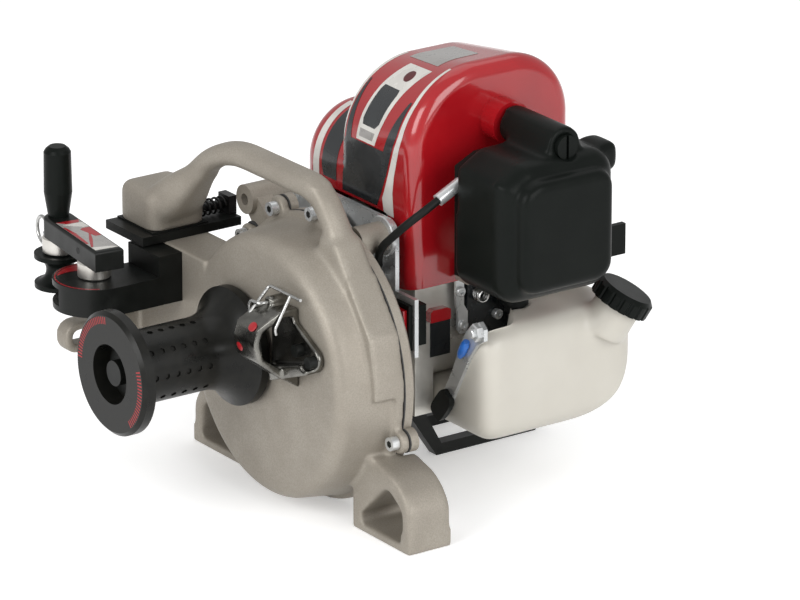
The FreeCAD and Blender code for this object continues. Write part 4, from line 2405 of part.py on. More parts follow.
def recoil_starter():
    """The starter's domed cover with its ring of air slots, and the pull grip on its shoulder."""
    cover = turned(
        [
            (0, 0),
            (d.recoil_radius, 0),
            (d.recoil_radius, d.recoil_shoulder),
            (d.recoil_crown_radius, d.recoil_crown_rise),
            (d.recoil_hub_radius, d.recoil_depth),
            (0, d.recoil_depth),
        ],
        d.crank_x,
        d.fan_housing_back_y,
        d.crank_z,
        ALONG_Y,
    )
    slots = []
    half = d.recoil_slot / 2
    for index in range(RECOIL_SLOTS):
        turn = FreeCAD.Rotation(FreeCAD.Vector(0, 1, 0), 360 / RECOIL_SLOTS * index)
        aside = turn.multVec(FreeCAD.Vector(-1, 0, 0))
        outward = turn.multVec(FreeCAD.Vector(0, 0, 1))
        slot = doc.addObject("Part::Box", "slot")
        bind(slot, "Length", d.recoil_slot)
        bind(slot, "Width", d.recoil_depth)
        bind(slot, "Height", d.recoil_crown_radius - d.recoil_slot_inner)
        place(
            slot,
            d.crank_x + half * aside.x + d.recoil_slot_inner * outward.x,
            d.fan_housing_back_y + d.recoil_shoulder,
            d.crank_z + half * aside.z + d.recoil_slot_inner * outward.z,
            turn,
        )
        slots.append(slot)
    node("recoil_cover", cut(cover, group(*slots)))
    grip_y = d.fan_housing_back_y + d.starter_grip_radius + d.rest_gap
    seat_x = d.crank_x + d.recoil_radius
    ferrule = rod(seat_x, grip_y, d.crank_z, d.starter_ferrule_radius, d.starter_ferrule, ALONG_X)
    half_grip = d.starter_grip_length / 2
    bar = rod(
        seat_x + d.starter_ferrule, grip_y, d.crank_z - half_grip, d.starter_grip_radius,
        d.starter_grip_length
    )
    node("starter_grip", fuse(ferrule, bar))


def throttle_cable():
    """A black sheathed cable from a ferrule on the air cleaner base to a boot on the engine plate."""
    points = [FreeCAD.Vector(*spot) for spot in CABLE_ROUTE]
    start, end = points[0], points[-1]
    first_run = FreeCAD.Rotation(FreeCAD.Vector(0, 0, 1), start - points[1])
    last_run = FreeCAD.Rotation(FreeCAD.Vector(0, 0, 1), end - points[-2])
    sleeve = rod(start.x, start.y, start.z, d.ferrule_radius, d.ferrule_length, first_run)
    base_edge = box(
        carb_right_x - d.ferrule_length, cover_back_x + d.ferrule_length, cleaner_base_front_y,
        cleaner_base_front_y + d.ferrule_length, -d.ferrule_length + start.z,
        d.ferrule_length * 2 + start.z,
    )
    boot = rod(end.x, d.plate_y - d.boot_radius, end.z, d.boot_radius, d.boot_length, last_run)
    node("cable_ends", group(cut(sleeve, base_edge), boot))
    wire = route_wire(points)
    bends = [edge.Curve.Radius for edge in wire.Edges if hasattr(edge.Curve, "Radius")]
    print("cable bends", [round(bend, 1) for bend in bends], "length", round(wire.Length, 1))
    node("throttle_cable", coded(pipe(points, number(d.cable_radius))))


front_case()
case_gasket()
rear_case()
case_screws()
bearings()
capstan_drum()
gear_train()
clutch()
carry_handle()
guide_rail()
coil_spring()
guide_arm()
guide_pin_and_roller()
gate()
tail_guide()
wire_gate()
engine_plate()
stop_switch()
crankcase()
cylinder()
engine_shroud()
carburettor()
air_cleaner()
cleaner_cover()
choke()
fuel_tank()
fuel_cap()
fuel_lines()
tank_guard()
muffler()
recoil_starter()
throttle_cable()
doc.recompute()

failed = [thing.Label for thing in doc.Objects if {"Invalid", "Error"} & set(thing.State)]
bad = [piece.Label for piece in NODES if piece.Shape.isNull() or not piece.Shape.isValid()]
if failed or bad:
    raise RuntimeError(f"failed objects {failed}, bad shapes {bad}")

os.makedirs("parts", exist_ok=True)
for piece in NODES:
    piece.Shape.exportStep(f"parts/{piece.Label}.step")
print(len(NODES), "nodes written")
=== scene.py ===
"""Visual model of the capstan winch, built around the frame of its solids."""

import json
import math

import bmesh
import bpy
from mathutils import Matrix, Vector
from mathutils.bvhtree import BVHTree


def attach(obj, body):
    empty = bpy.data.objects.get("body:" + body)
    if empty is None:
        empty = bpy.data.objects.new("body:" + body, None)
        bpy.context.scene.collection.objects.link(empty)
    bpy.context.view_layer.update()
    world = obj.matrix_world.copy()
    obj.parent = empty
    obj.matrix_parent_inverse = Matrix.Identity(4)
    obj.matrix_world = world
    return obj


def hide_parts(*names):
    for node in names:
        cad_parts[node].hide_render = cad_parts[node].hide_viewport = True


MM = 0.001
ALONG_X = (1, 0, 0)
ALONG_Y = (0, 1, 0)
ALONG_Z = (0, 0, 1)

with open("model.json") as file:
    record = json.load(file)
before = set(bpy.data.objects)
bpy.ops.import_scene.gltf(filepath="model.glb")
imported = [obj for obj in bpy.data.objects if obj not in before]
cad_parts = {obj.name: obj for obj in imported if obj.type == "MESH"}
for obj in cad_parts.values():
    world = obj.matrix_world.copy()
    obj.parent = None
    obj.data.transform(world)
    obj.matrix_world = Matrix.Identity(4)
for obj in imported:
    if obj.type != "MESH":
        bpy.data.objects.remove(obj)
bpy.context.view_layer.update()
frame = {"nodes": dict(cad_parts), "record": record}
nodes = frame["nodes"]
record = frame["record"]

# The floor point between the feet, in the plane of their front faces, from the middle of the winch
FRAME_X = 38.0
FRAME_Y = -42.0


def at(x, y, z):
    """A place in millimetres from the floor point between the feet, as a point of the frame."""
    return Vector(((x + FRAME_X) * MM, (y + FRAME_Y) * MM, z * MM))


def from_floor_point(point):
    """A point of the frame in millimetres from the floor point between the feet."""
    return point.x / MM - FRAME_X, point.y / MM - FRAME_Y, point.z / MM


# Materials


def new_material(name):
    material = bpy.data.materials.new(name)
    material.use_nodes = True
    tree = material.node_tree
    shader = next(n for n in tree.nodes if n.type == "BSDF_PRINCIPLED")
    place = tree.nodes.new("ShaderNodeTexCoord")
    return material, tree, shader, place.outputs["Object"]


def noise(tree, place, size, detail=3.0, stretch=None):
    """Noise whose lumps are about so many millimetres across."""
    if stretch:
        scale = tree.nodes.new("ShaderNodeVectorMath")
        scale.operation = "MULTIPLY"
        scale.inputs[1].default_value = stretch
        tree.links.new(place, scale.inputs[0])
        place = scale.outputs["Vector"]
    texture = tree.nodes.new("ShaderNodeTexNoise")
    texture.inputs["Scale"].default_value = 1 / (size * MM)
    texture.inputs["Detail"].default_value = detail
    tree.links.new(place, texture.inputs["Vector"])
    return texture.outputs["Fac"]


# The part of the noise's range that most of it lies in
NOISE_LOW = 0.3
NOISE_HIGH = 0.7


def blend(tree, value, dark, light):
    """A colour between dark and light by the noise."""
    colors = tree.nodes.new("ShaderNodeValToRGB")
    low, high = colors.color_ramp.elements
    low.position, low.color = NOISE_LOW, (*dark, 1.0)
    high.position, high.color = NOISE_HIGH, (*light, 1.0)
    tree.links.new(value, colors.inputs["Fac"])
    return colors.outputs["Color"]


def spread(tree, value, low, high):
    """A number between low and high by the noise."""
    scale = tree.nodes.new("ShaderNodeMapRange")
    scale.inputs["From Min"].default_value = NOISE_LOW
    scale.inputs["From Max"].default_value = NOISE_HIGH
    scale.inputs["To Min"].default_value = low
    scale.inputs["To Max"].default_value = high
    tree.links.new(value, scale.inputs["Value"])
    return scale.outputs["Result"]


def bump(tree, shader, height, depth):
    """A relief so many millimetres deep."""
    relief = tree.nodes.new("ShaderNodeBump")
    relief.inputs["Distance"].default_value = depth * MM
    relief.inputs["Strength"].default_value = 1.0
    tree.links.new(height, relief.inputs["Height"])
    tree.links.new(relief.outputs["Normal"], shader.inputs["Normal"])


def maths(tree, operation, *values):
    node = tree.nodes.new("ShaderNodeMath")
    node.operation = operation
    for socket, value in zip(node.inputs, values):
        if isinstance(value, float):
            socket.default_value = value
        else:
            tree.links.new(value, socket)
    return node.outputs["Value"]


def mix(tree, share, first, second):
    """The linked colour first, turned by share into the fixed colour second."""
    node = tree.nodes.new("ShaderNodeMix")
    node.data_type = "RGBA"
    start, end = [socket for socket in node.inputs if socket.type == "RGBA"]
    tree.links.new(share, node.inputs["Factor"])
    tree.links.new(first, start)
    end.default_value = (*second, 1.0)
    return next(socket for socket in node.outputs if socket.type == "RGBA")


def surface(
    name, light, dark, rough, grain, depth, mottle, metallic=0.0, stretch=None, coat=0.0, gloss=0.5
):
    """A finish with mottled colour and roughness and a fine relief.

    The lumps of the relief (grain), its depth and the mottled patches are in millimetres.
    """
    material, tree, shader, place = new_material(name)
    patches = noise(tree, place, mottle, 5.0, stretch)
    tree.links.new(blend(tree, patches, dark, light), shader.inputs["Base Color"])
    tree.links.new(spread(tree, patches, *rough), shader.inputs["Roughness"])
    shader.inputs["Metallic"].default_value = metallic
    shader.inputs["Coat Weight"].default_value = coat
    shader.inputs["Specular IOR Level"].default_value = gloss
    bump(tree, shader, noise(tree, place, grain, 4.0, stretch), depth)
    return material


def sand_cast():
    """Blasted aluminium: a sandy relief, fine speckle and faint larger stains."""
    material, tree, shader, place = new_material("cast_aluminium")
    speckle = noise(tree, place, size=0.9, detail=4.0)
    stain = noise(tree, place, size=34.0, detail=6.0)
    fine = blend(tree, speckle, dark=(0.3, 0.272, 0.23), light=(0.375, 0.342, 0.292))
    stained = mix(tree, spread(tree, stain, 0.0, 0.75), fine, (0.255, 0.228, 0.19))
    tree.links.new(stained, shader.inputs["Base Color"])
    tree.links.new(spread(tree, speckle, 0.62, 0.46), shader.inputs["Roughness"])
    shader.inputs["Metallic"].default_value = 0.45
    bump(tree, shader, noise(tree, place, size=1.1, detail=5.0), depth=0.13)
    return material


# Red ticks on the outer face of the drum: radii in millimetres, arcs as (heading, half width) in degrees
DRUM_MIDDLE = (-27.5, -128.0, 105.6)
TICK_RING = (33.4, 38.2)
TICK_COUNT = 100
TICK_SHARE = 0.4
TICK_ARCS = [(155.0, 58.0), (-15.0, 36.0)]
TICK_DEPTH = 0.2
TICK_RED = (0.36, 0.018, 0.022)


def drum_finish():
    """Dark anodised metal with arcs of red ticks on the outer flange face."""
    material, tree, shader, place = new_material("drum_finish")
    patches = noise(tree, place, size=9.0, detail=5.0)
    metal = blend(tree, patches, dark=(0.0055, 0.0058, 0.005), light=(0.011, 0.0108, 0.0092))
    split = tree.nodes.new("ShaderNodeSeparateXYZ")
    tree.links.new(place, split.inputs["Vector"])
    middle = at(*DRUM_MIDDLE)
    across = maths(tree, "SUBTRACT", split.outputs["X"], middle.x)
    up = maths(tree, "SUBTRACT", split.outputs["Z"], middle.z)
    squares = maths(
        tree, "ADD", maths(tree, "MULTIPLY", across, across), maths(tree, "MULTIPLY", up, up)
    )
    radius = maths(tree, "POWER", squares, 0.5)
    angle = maths(tree, "ARCTAN2", up, across)
    turns = maths(tree, "MULTIPLY", angle, TICK_COUNT / math.tau)
    part = maths(tree, "FRACT", maths(tree, "ADD", turns, float(TICK_COUNT)))
    tick = maths(tree, "LESS_THAN", part, TICK_SHARE)
    low, high = TICK_RING
    above = maths(tree, "GREATER_THAN", radius, low * MM)
    ring = maths(tree, "MULTIPLY", above, maths(tree, "LESS_THAN", radius, high * MM))
    face = maths(tree, "LESS_THAN", split.outputs["Y"], middle.y + TICK_DEPTH * MM)
    arcs = None
    for heading, half in TICK_ARCS:
        off = maths(tree, "ABSOLUTE", maths(tree, "SUBTRACT", angle, math.radians(heading)))
        arc = maths(tree, "LESS_THAN", off, math.radians(half))
        arcs = maths(tree, "ADD", arcs, arc) if arcs else arc
    ticks = maths(tree, "MULTIPLY", ring, tick)
    mask = maths(tree, "MULTIPLY", ticks, maths(tree, "MULTIPLY", face, arcs))
    tree.links.new(mix(tree, mask, metal, TICK_RED), shader.inputs["Base Color"])
    tree.links.new(spread(tree, patches, 0.26, 0.36), shader.inputs["Roughness"])
    shader.inputs["Specular IOR Level"].default_value = 0.2
    bump(tree, shader, noise(tree, place, size=0.5, detail=4.0), depth=0.012)
    return material


FINISHES = {
    "gasket": dict(
        light=(0.05, 0.05, 0.05), dark=(0.03, 0.03, 0.03), rough=(0.7, 0.85),
        grain=0.6, depth=0.05, mottle=5.0,
    ),
    "zinc_steel": dict(
        light=(0.64, 0.65, 0.65), dark=(0.52, 0.535, 0.54), rough=(0.22, 0.36),
        grain=1.2, depth=0.02, mottle=14.0, metallic=0.65,
    ),
    "bearing_steel": dict(
        light=(0.62, 0.62, 0.63), dark=(0.5, 0.5, 0.51), rough=(0.2, 0.32),
        grain=0.5, depth=0.01, mottle=4.0, metallic=1.0, stretch=(1.0, 0.08, 1.0),
    ),
    "polished_steel": dict(
        light=(0.66, 0.64, 0.6), dark=(0.58, 0.56, 0.52), rough=(0.28, 0.36),
        grain=0.4, depth=0.004, mottle=6.0, metallic=0.9, stretch=(0.1, 0.1, 1.0),
    ),
    "gear_steel": dict(
        light=(0.4, 0.4, 0.41), dark=(0.28, 0.28, 0.29), rough=(0.25, 0.4),
        grain=0.6, depth=0.01, mottle=6.0, metallic=1.0,
    ),
    "spring_steel": dict(
        light=(0.55, 0.55, 0.54), dark=(0.38, 0.38, 0.37), rough=(0.2, 0.34),
        grain=0.5, depth=0.01, mottle=3.0, metallic=1.0,
    ),
    "black_steel": dict(
        light=(0.0075, 0.0085, 0.0075), dark=(0.0045, 0.005, 0.0045), rough=(0.34, 0.46),
        grain=0.7, depth=0.02, mottle=12.0, gloss=0.22,
    ),
    "dark_casting": dict(
        light=(0.24, 0.235, 0.215), dark=(0.11, 0.107, 0.098), rough=(0.16, 0.3),
        grain=1.3, depth=0.04, mottle=11.0, metallic=1.0,
    ),
    "black_rubber": dict(
        light=(0.008, 0.009, 0.008), dark=(0.005, 0.0055, 0.005), rough=(0.42, 0.56),
        grain=0.5, depth=0.03, mottle=6.0, gloss=0.16,
    ),
    "black_plastic": dict(
        light=(0.006, 0.0075, 0.0065), dark=(0.0045, 0.0058, 0.005), rough=(0.3, 0.4),
        grain=0.55, depth=0.03, mottle=25.0, gloss=0.09,
    ),
    "red_plastic": dict(
        light=(0.35, 0.007, 0.011), dark=(0.3, 0.005, 0.009), rough=(0.14, 0.2),
        grain=2.0, depth=0.004, mottle=30.0, coat=0.5,
    ),
    "white_plastic": dict(
        light=(0.545, 0.522, 0.465), dark=(0.505, 0.48, 0.425), rough=(0.34, 0.46),
        grain=1.5, depth=0.02, mottle=40.0,
    ),
    "filter_foam": dict(
        light=(0.22, 0.2, 0.14), dark=(0.1, 0.09, 0.06), rough=(0.8, 0.95),
        grain=1.0, depth=0.3, mottle=3.0,
    ),
}
MATERIALS = {"cast_aluminium": sand_cast(), "dark_drum": drum_finish()}
MATERIALS.update({name: surface(name, **finish) for name, finish in FINISHES.items()})
# A lighter cast finish for the crankcase: its base is made lighter as painted light, to offset the shade
# under the shroud
BRIGHTENED_ENGINE_CASTING = surface(
    "engine_casting_painted_light", light=(0.66, 0.645, 0.6), dark=(0.5, 0.485, 0.445), rough=(0.24, 0.4),
    grain=1.1, depth=0.05, mottle=22.0, metallic=0.6,
)
DARK_WIRE = surface(
    "dark_wire", light=(0.03, 0.03, 0.03), dark=(0.016, 0.016, 0.016), rough=(0.3, 0.42),
    grain=0.5, depth=0.01, mottle=3.0, metallic=0.6,
)
CHARCOAL = surface(
    "charcoal_film", light=(0.016, 0.019, 0.021), dark=(0.011, 0.013, 0.015), rough=(0.22, 0.3),
    grain=0.4, depth=0.004, mottle=18.0, coat=0.3,
)
WHITE_FILM = surface(
    "white_film", light=(0.66, 0.64, 0.6), dark=(0.56, 0.545, 0.51), rough=(0.24, 0.34),
    grain=0.6, depth=0.004, mottle=14.0, coat=0.3,
)
GREY_FILM = surface(
    "grey_film", light=(0.33, 0.315, 0.3), dark=(0.27, 0.258, 0.245), rough=(0.24, 0.34),
    grain=0.6, depth=0.004, mottle=10.0, coat=0.3,
)
RED_FILM = surface(
    "red_film", light=(0.36, 0.012, 0.018), dark=(0.3, 0.01, 0.014), rough=(0.24, 0.34),
    grain=0.6, depth=0.004, mottle=12.0,
)
DEEP_RED = surface(
    "deep_red", light=(0.09, 0.004, 0.006), dark=(0.06, 0.003, 0.004), rough=(0.3, 0.4),
    grain=0.6, depth=0.004, mottle=6.0,
)
BLUE_SLEEVE = surface(
    "blue_sleeve", light=(0.02, 0.14, 0.5), dark=(0.015, 0.1, 0.38), rough=(0.3, 0.42),
    grain=0.5, depth=0.01, mottle=4.0,
)
# Black for the sockets of the screws and the mouth of the lever's pin hole: painted shade in these
# hollows
SOCKET_SHADE = MATERIALS["black_rubber"]

for entry in record["subparts"]:
    skin = nodes[entry["node"]].data.materials
    skin.clear()
    skin.append(MATERIALS[entry["material_slot"]])
for node in ("coil_spring", "spring_bolt"):
    nodes[node].data.materials[0] = DARK_WIRE
nodes["crankcase"].data.materials[0] = BRIGHTENED_ENGINE_CASTING


# Tools for pieces


def show(name, mesh, body, slot, material=None):
    piece = bpy.data.objects.new(name, mesh)
    bpy.context.scene.collection.objects.link(piece)
    mesh.materials.clear()
    mesh.materials.append(material or MATERIALS[slot])
    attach(piece, body)
    return piece


def soften(mesh, vertices, passes):
    for _ in range(passes):
        bmesh.ops.smooth_vert(
            mesh, verts=vertices, factor=0.5, use_axis_x=True, use_axis_y=True, use_axis_z=True
        )


def inside(vertex, low, high):
    return all(a <= value <= b for a, value, b in zip(at(*low), vertex.co, at(*high)))


def evaluated(name, mesh, kind, **settings):
    """The mesh after one modifier."""
    source = bpy.data.objects.new(name, mesh)
    bpy.context.scene.collection.objects.link(source)
    modifier = source.modifiers.new(name, kind)
    for key, value in settings.items():
        setattr(modifier, key, value)
    graph = bpy.context.evaluated_depsgraph_get()
    result = bpy.data.meshes.new_from_object(source.evaluated_get(graph))
    bpy.data.objects.remove(source)
    return result


def recast(
    name, sources, body, slot, voxel, passes, keep, sink=0.0, extra=None, form=None, blends=()
):
    """A softened copy of CAD nodes: their corners get the fillets of a casting or a moulding.

    The nodes after the first are sunk a little, so that they melt into it. Each of the blends is a box
    given by two corners, where the skin is softened further by so many passes.
    """
    joined = bmesh.new()
    for index, node in enumerate(sources):
        copy = nodes[node].data.copy()
        if index:
            for vertex in copy.vertices:
                vertex.co.z -= sink * MM
        joined.from_mesh(copy)
        bpy.data.meshes.remove(copy)
    if extra:
        joined.from_mesh(extra.mesh(name + "_extra"))
    raw = bpy.data.meshes.new(name)
    joined.to_mesh(raw)
    joined.free()
    cells = evaluated(name, raw, "REMESH", mode="VOXEL", voxel_size=voxel * MM)
    soft = bmesh.new()
    soft.from_mesh(cells)
    if form:
        for vertex in soft.verts:
            form(vertex.co)
    soften(soft, soft.verts, passes)
    for low, high, more in blends:
        soften(soft, [vertex for vertex in soft.verts if inside(vertex, low, high)], more)
    soft.to_mesh(cells)
    soft.free()
    mesh = evaluated(name, cells, "DECIMATE", ratio=keep)
    mesh.shade_smooth()
    piece = show(name, mesh, body, slot)
    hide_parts(*sources)


# Edges that bend more than this are shown sharp
SHARP_ANGLE = math.radians(35)


class Shells:
    """Gathers the closed shells of one piece; all places are in millimetres."""

    def __init__(self):
        self.points = []
        self.faces = []

    def rings(self, rings):
        """A closed skin over rings of equally many points."""
        start, count = len(self.points), len(rings[0])
        for ring in rings:
            self.points.extend(at(*point) for point in ring)
        for step in range(len(rings) - 1):
            low = start + step * count
            high = low + count
            for index in range(count):
                following = (index + 1) % count
                self.faces.append((low + index, low + following, high + following, high + index))
        self.faces.append(tuple(reversed(range(start, start + count))))
        end = start + (len(rings) - 1) * count
        self.faces.append(tuple(range(end, end + count)))

    def turned(self, origin, axis, profile, count=40, sides=0):
        """A turned skin: profile is (radius, place along the axis).

        With sides it is a prism of that many sides, each so far from the axis as the radius.
        """
        axis = Vector(axis).normalized()
        first = axis.orthogonal().normalized()
        second = axis.cross(first)
        rings = []
        for radius, along in profile:
            ring = []
            for index in range(count):
                angle = 2 * math.pi * index / count
                reach = radius
                if sides:
                    sector = 2 * math.pi / sides
                    reach = radius / math.cos((angle % sector) - sector / 2)
                out = first * math.cos(angle) + second * math.sin(angle)
                ring.append(Vector(origin) + axis * along + out * reach)
            rings.append(ring)
        self.rings(rings)

    def plate(self, outline, origin, across, up, thick):
        """A flat plate: outline is a list of (across, up), and it grows along across x up."""
        across, up = Vector(across).normalized(), Vector(up).normalized()
        out = across.cross(up)
        low = [Vector(origin) + across * u + up * v for u, v in outline]
        self.rings([low, [point + out * thick for point in low]])

    def side_plate(self, outline, x, thick):
        """A plate that faces right, from x on: outline is a list of (y, z)."""
        self.plate(outline, (x, 0, 0), ALONG_Y, ALONG_Z, thick)

    def ribbon(self, rows, lift, thick, spot):
        """A thin sheet on a surface.

        Rows are (along, left, right), and spot(across, along, lift) is a point of the surface.
        """
        widest = max(abs(right - left) for _, left, right in rows)
        columns = max(3, math.ceil(widest / 2))
        count = len(rows)
        start = len(self.points)
        for height in (lift, lift + thick):
            for along, left, right in rows:
                for column in range(columns + 1):
                    share = column / columns
                    self.points.append(at(*spot(left + (right - left) * share, along, height)))
        wide = columns + 1
        layer = count * wide

        def corner(level, cell):
            row, column = cell
            return start + level * layer + row * wide + column

        for row in range(count - 1):
            for column in range(columns):
                quad = [(row, column), (row, column + 1), (row + 1, column + 1), (row + 1, column)]
                self.faces.append(tuple(corner(1, cell) for cell in quad))
                self.faces.append(tuple(corner(0, cell) for cell in reversed(quad)))
        rim = [(0, column) for column in range(columns)]
        rim += [(row, columns) for row in range(count - 1)]
        rim += [(count - 1, column) for column in range(columns, 0, -1)]
        rim += [(row, 0) for row in range(count - 1, 0, -1)]
        for index, cell in enumerate(rim):
            following = rim[(index + 1) % len(rim)]
            low = [corner(0, cell), corner(0, following)]
            high = [corner(1, following), corner(1, cell)]
            self.faces.append((*low, *high))

    def tube(self, path, radius, count=14):
        """A round wire along a path of points."""
        path = [Vector(point) for point in path]
        angles = [2 * math.pi * step / count for step in range(count)]
        side = (path[1] - path[0]).orthogonal().normalized()
        rings = []
        for index, point in enumerate(path):
            ahead = path[min(index + 1, len(path) - 1)] - path[max(index - 1, 0)]
            ahead.normalize()
            side = (side - ahead * side.dot(ahead)).normalized()
            other = ahead.cross(side)
            rings.append(
                [point + (side * math.cos(a) + other * math.sin(a)) * radius for a in angles]
            )
        self.rings(rings)

    def mesh(self, name):
        mesh = bpy.data.meshes.new(name)
        mesh.from_pydata(self.points, [], self.faces)
        turned_out = bmesh.new()
        turned_out.from_mesh(mesh)
        bmesh.ops.recalc_face_normals(turned_out, faces=turned_out.faces)
        turned_out.to_mesh(mesh)
        turned_out.free()
        return mesh

    def piece(self, name, body, slot, material=None):
        mesh = self.mesh(name)
        mesh.shade_smooth()
        mesh.set_sharp_from_angle(angle=SHARP_ANGLE)
        return show(name, mesh, body, slot, material)


# Castings and mouldings


def oval(middle, across, up, wide, high, count=32):
    """A ring of points between an ellipse and a rectangle."""
    ring = []
    for index in range(count):
        angle = 2 * math.pi * index / count
        a, b = math.cos(angle), math.sin(angle)
        swell = (a**4 + b**4) ** -0.25
        ring.append(middle + across * (a * swell * wide) + up * (b * swell * high))
    return ring


# The handle's root: sizes are (reach along it, half width, half height)
ROOT_START = Vector((-131.0, -13.8, 170.0))
ROOT_ALONG = Vector((53.6, 6.6, 50.0)).normalized()
ROOT_ACROSS = Vector((-0.122, 0.9925, 0))
ROOT_SIZES = [
    (0, 19.5, 14), (12, 18.5, 14), (22, 16, 13), (32, 13.2, 10.8), (42, 10.8, 8.8), (54, 9.4, 7.4)
]


def handle_root():
    """The root of the handle, which widens into the square block."""
    up = ROOT_ALONG.cross(ROOT_ACROSS).normalized()
    shells = Shells()
    shells.rings(
        [
            oval(ROOT_START + ROOT_ALONG * reach, ROOT_ACROSS, up, wide, high)
            for reach, wide, high in ROOT_SIZES
        ]
    )
    return shells


# The cover's neck: its flank is (offset in y, z)
NECK_FLANK = [(-30, 222), (-27, 229), (-13, 252), (13, 252), (27, 229), (30, 222)]
NECK_MIDDLE = 128.5
NECK_ENDS = (75.0, 117.0)


def cover_neck():
    """The broad shoulder of the cleaner cover under its knob."""
    shells = Shells()
    shells.rings([[Vector((x, NECK_MIDDLE + y, z)) for y, z in NECK_FLANK] for x in NECK_ENDS])
    return shells


# The tank's slope is (z, least x), in full at the front of the tank and faded out along y
TANK_SLOPE = [(47.0, 46.0), (103.0, 70.0), (128.0, 92.0)]
TANK_SIDE = 46.0
TANK_INNER = 20.0
SLOPE_END = 142.0
SLOPE_FADE = 36.0
# The round of its low back corner: y and z of the middle, radius
TANK_BEND = (148.0, 104.0, 57.0)


def tank_form(point):
    """Leans the tank away from the crankcase at its front and rounds its low back corner."""
    x, y, z = from_floor_point(point)
    bend_y, bend_z, reach = TANK_BEND
    if y > bend_y and z < bend_z:
        away = math.hypot(y - bend_y, z - bend_z)
        if away > reach:
            y = bend_y + (y - bend_y) * reach / away
            z = bend_z + (z - bend_z) * reach / away
    for (low, start), (high, end) in zip(TANK_SLOPE, TANK_SLOPE[1:]):
        if low <= z <= high and x > TANK_INNER:
            share = min(max((SLOPE_END - y) / SLOPE_FADE, 0.0), 1.0)
            least = start + (end - start) * (z - low) / (high - low)
            least = TANK_SIDE + (least - TANK_SIDE) * share * share * (3 - 2 * share)
            x = max(x, least)
    point.xyz = at(x, y, z)


HANDLE_BLOCK_BLEND = ((-158, -60, 158), (-75, 30, 235), 22)
WING_BLEND = ((-128, -75, 92), (-72, 9, 148), 70)
RIGHT_FOOT_BLEND = ((80, -30, 12), (135, 60, 54), 34)
LEFT_FOOT_BLEND = ((-135, -30, 12), (-80, 60, 54), 34)
HANDLE_END_BLEND = ((18, -25, 160), (64, 30, 222), 30)
NECK_BLEND = ((58, 70, 205), (116, 180, 262), 40)

recast(
    "cast_body", ["front_case", "carry_handle"], "winch", "cast_aluminium",
    voxel=1.2, passes=9, keep=0.35, sink=0.5, extra=handle_root(),
    blends=[HANDLE_BLOCK_BLEND, WING_BLEND, RIGHT_FOOT_BLEND, LEFT_FOOT_BLEND, HANDLE_END_BLEND],
)
recast("cast_tail_guide", ["tail_guide"], "winch", "dark_casting", voxel=0.8, passes=5, keep=0.5)
recast(
    "moulded_tank", ["fuel_tank"], "winch", "white_plastic",
    voxel=1.5, passes=24, keep=0.4, form=tank_form,
)
recast(
    "moulded_cover", ["cleaner_cover"], "winch", "black_plastic",
    voxel=1.1, passes=14, keep=0.35, extra=cover_neck(), blends=[NECK_BLEND],
)


# Films on the shroud: plain stripes and a blank plate

STEP_X = -40.0
CROWN_SLOPE = 13.0 / 85.0
HUMP = dict(front=60.0, round=54.0, top=278.6, left=-30.0, right=35.0, rim=10.0)
SHOULDER = dict(front=60.0, round=38.0, top=241.0, left=-69.0, right=0.0, rim=15.0)
FILM_START = 190.0
FILM_LIFT = 0.1
FILM_THICK = 0.14
SECOND_LIFT = FILM_LIFT + FILM_THICK

shroud_mesh = nodes["engine_shroud"].data
shroud_tree = BVHTree.FromPolygons(
    [vertex.co for vertex in shroud_mesh.vertices],
    [tuple(face.vertices) for face in shroud_mesh.polygons],
)


def shroud_spot(arch, slope):
    """Gives points of an arch of the shroud by the distance up it from a level at its front."""

    def spot(x, along):
        crown = arch["top"] + slope * (x - STEP_X)
        bend_z = crown - arch["round"]
        past = max(arch["left"] - x, x - arch["right"], 0.0)
        lift = math.sqrt(arch["rim"] ** 2 - past**2) - arch["rim"]
        rise = along - (bend_z - FILM_START)
        if rise < 0:
            return x, arch["front"] - lift, FILM_START + along
        angle = min(rise / arch["round"], math.pi / 2)
        reach = arch["round"] + lift
        beyond = max(rise - arch["round"] * math.pi / 2, 0.0)
        y = arch["front"] + arch["round"] - reach * math.cos(angle) + beyond
        return x, y, bend_z + reach * math.sin(angle)

    return spot


def on_shroud(spot):
    """Gives points so far off the shroud's own skin, nearest to those of the arch."""

    def seated(x, along, lift):
        place, normal, _, _ = shroud_tree.find_nearest(at(*spot(x, along)))
        return from_floor_point(place + normal * lift * MM)

    return seated


def between(knots, step=2.0):
    """Rows every few millimetres between knots of (along, left, right)."""
    rows = []
    for start, end in zip(knots, knots[1:]):
        count = max(1, round((end[0] - start[0]) / step))
        for index in range(count):
            share = index / count
            rows.append(tuple(low + (high - low) * share for low, high in zip(start, end)))
    return rows + [knots[-1]]


def films(name, material, slot, bands, lift=FILM_LIFT):
    shells = Shells()
    for spot, knots in bands:
        shells.ribbon(between(knots), lift, FILM_THICK, spot)
    shells.piece(name, "winch", slot, material)


hump = on_shroud(shroud_spot(HUMP, CROWN_SLOPE))
shoulder = on_shroud(shroud_spot(SHOULDER, 0.0))
DARK_BANDS = [
    (hump, [(3, -38, 5), (15, -38, 10.5), (27, -37, 15.5), (42, -31, 20.5)]),
    (hump, [(42, -31, -25), (60, -31, -26.5), (84, -30, -28.5)]),
    (hump, [(42, 12, 20.5), (56, 17, 25.5), (80, 27.5, 29.5)]),
    (shoulder, [(7, -57, -42), (14, -59, -42), (64, -60, -44)]),
]
WHITE_BANDS = [
    (
        hump,
        [
            (0, 13, 24), (10, 11, 23), (16, 13.5, 22.5), (27, 17.5, 24),
            (42, 22.5, 28), (56, 27.5, 32), (80, 31.5, 35), (114, 33.5, 35.5),
        ],
    ),
    (hump, [(28, -36, -34), (60, -35, -32.5), (100, -33, -30), (116, -31, -29)]),
    (shoulder, [(6, -69, -62), (64, -68, -63)]),
]
PLATE = [(hump, [(43, -19, 2), (60, -18, 8), (84, -14, 15), (106, -8, 22)])]
PLATE_FIELD = [(hump, [(54, -14, 0), (58, -15, 4), (80, -11.5, 9.5), (84, -10, 9)])]
PLATE_BAND = [(hump, [(45.5, -16, -1), (51, -16, 1)])]
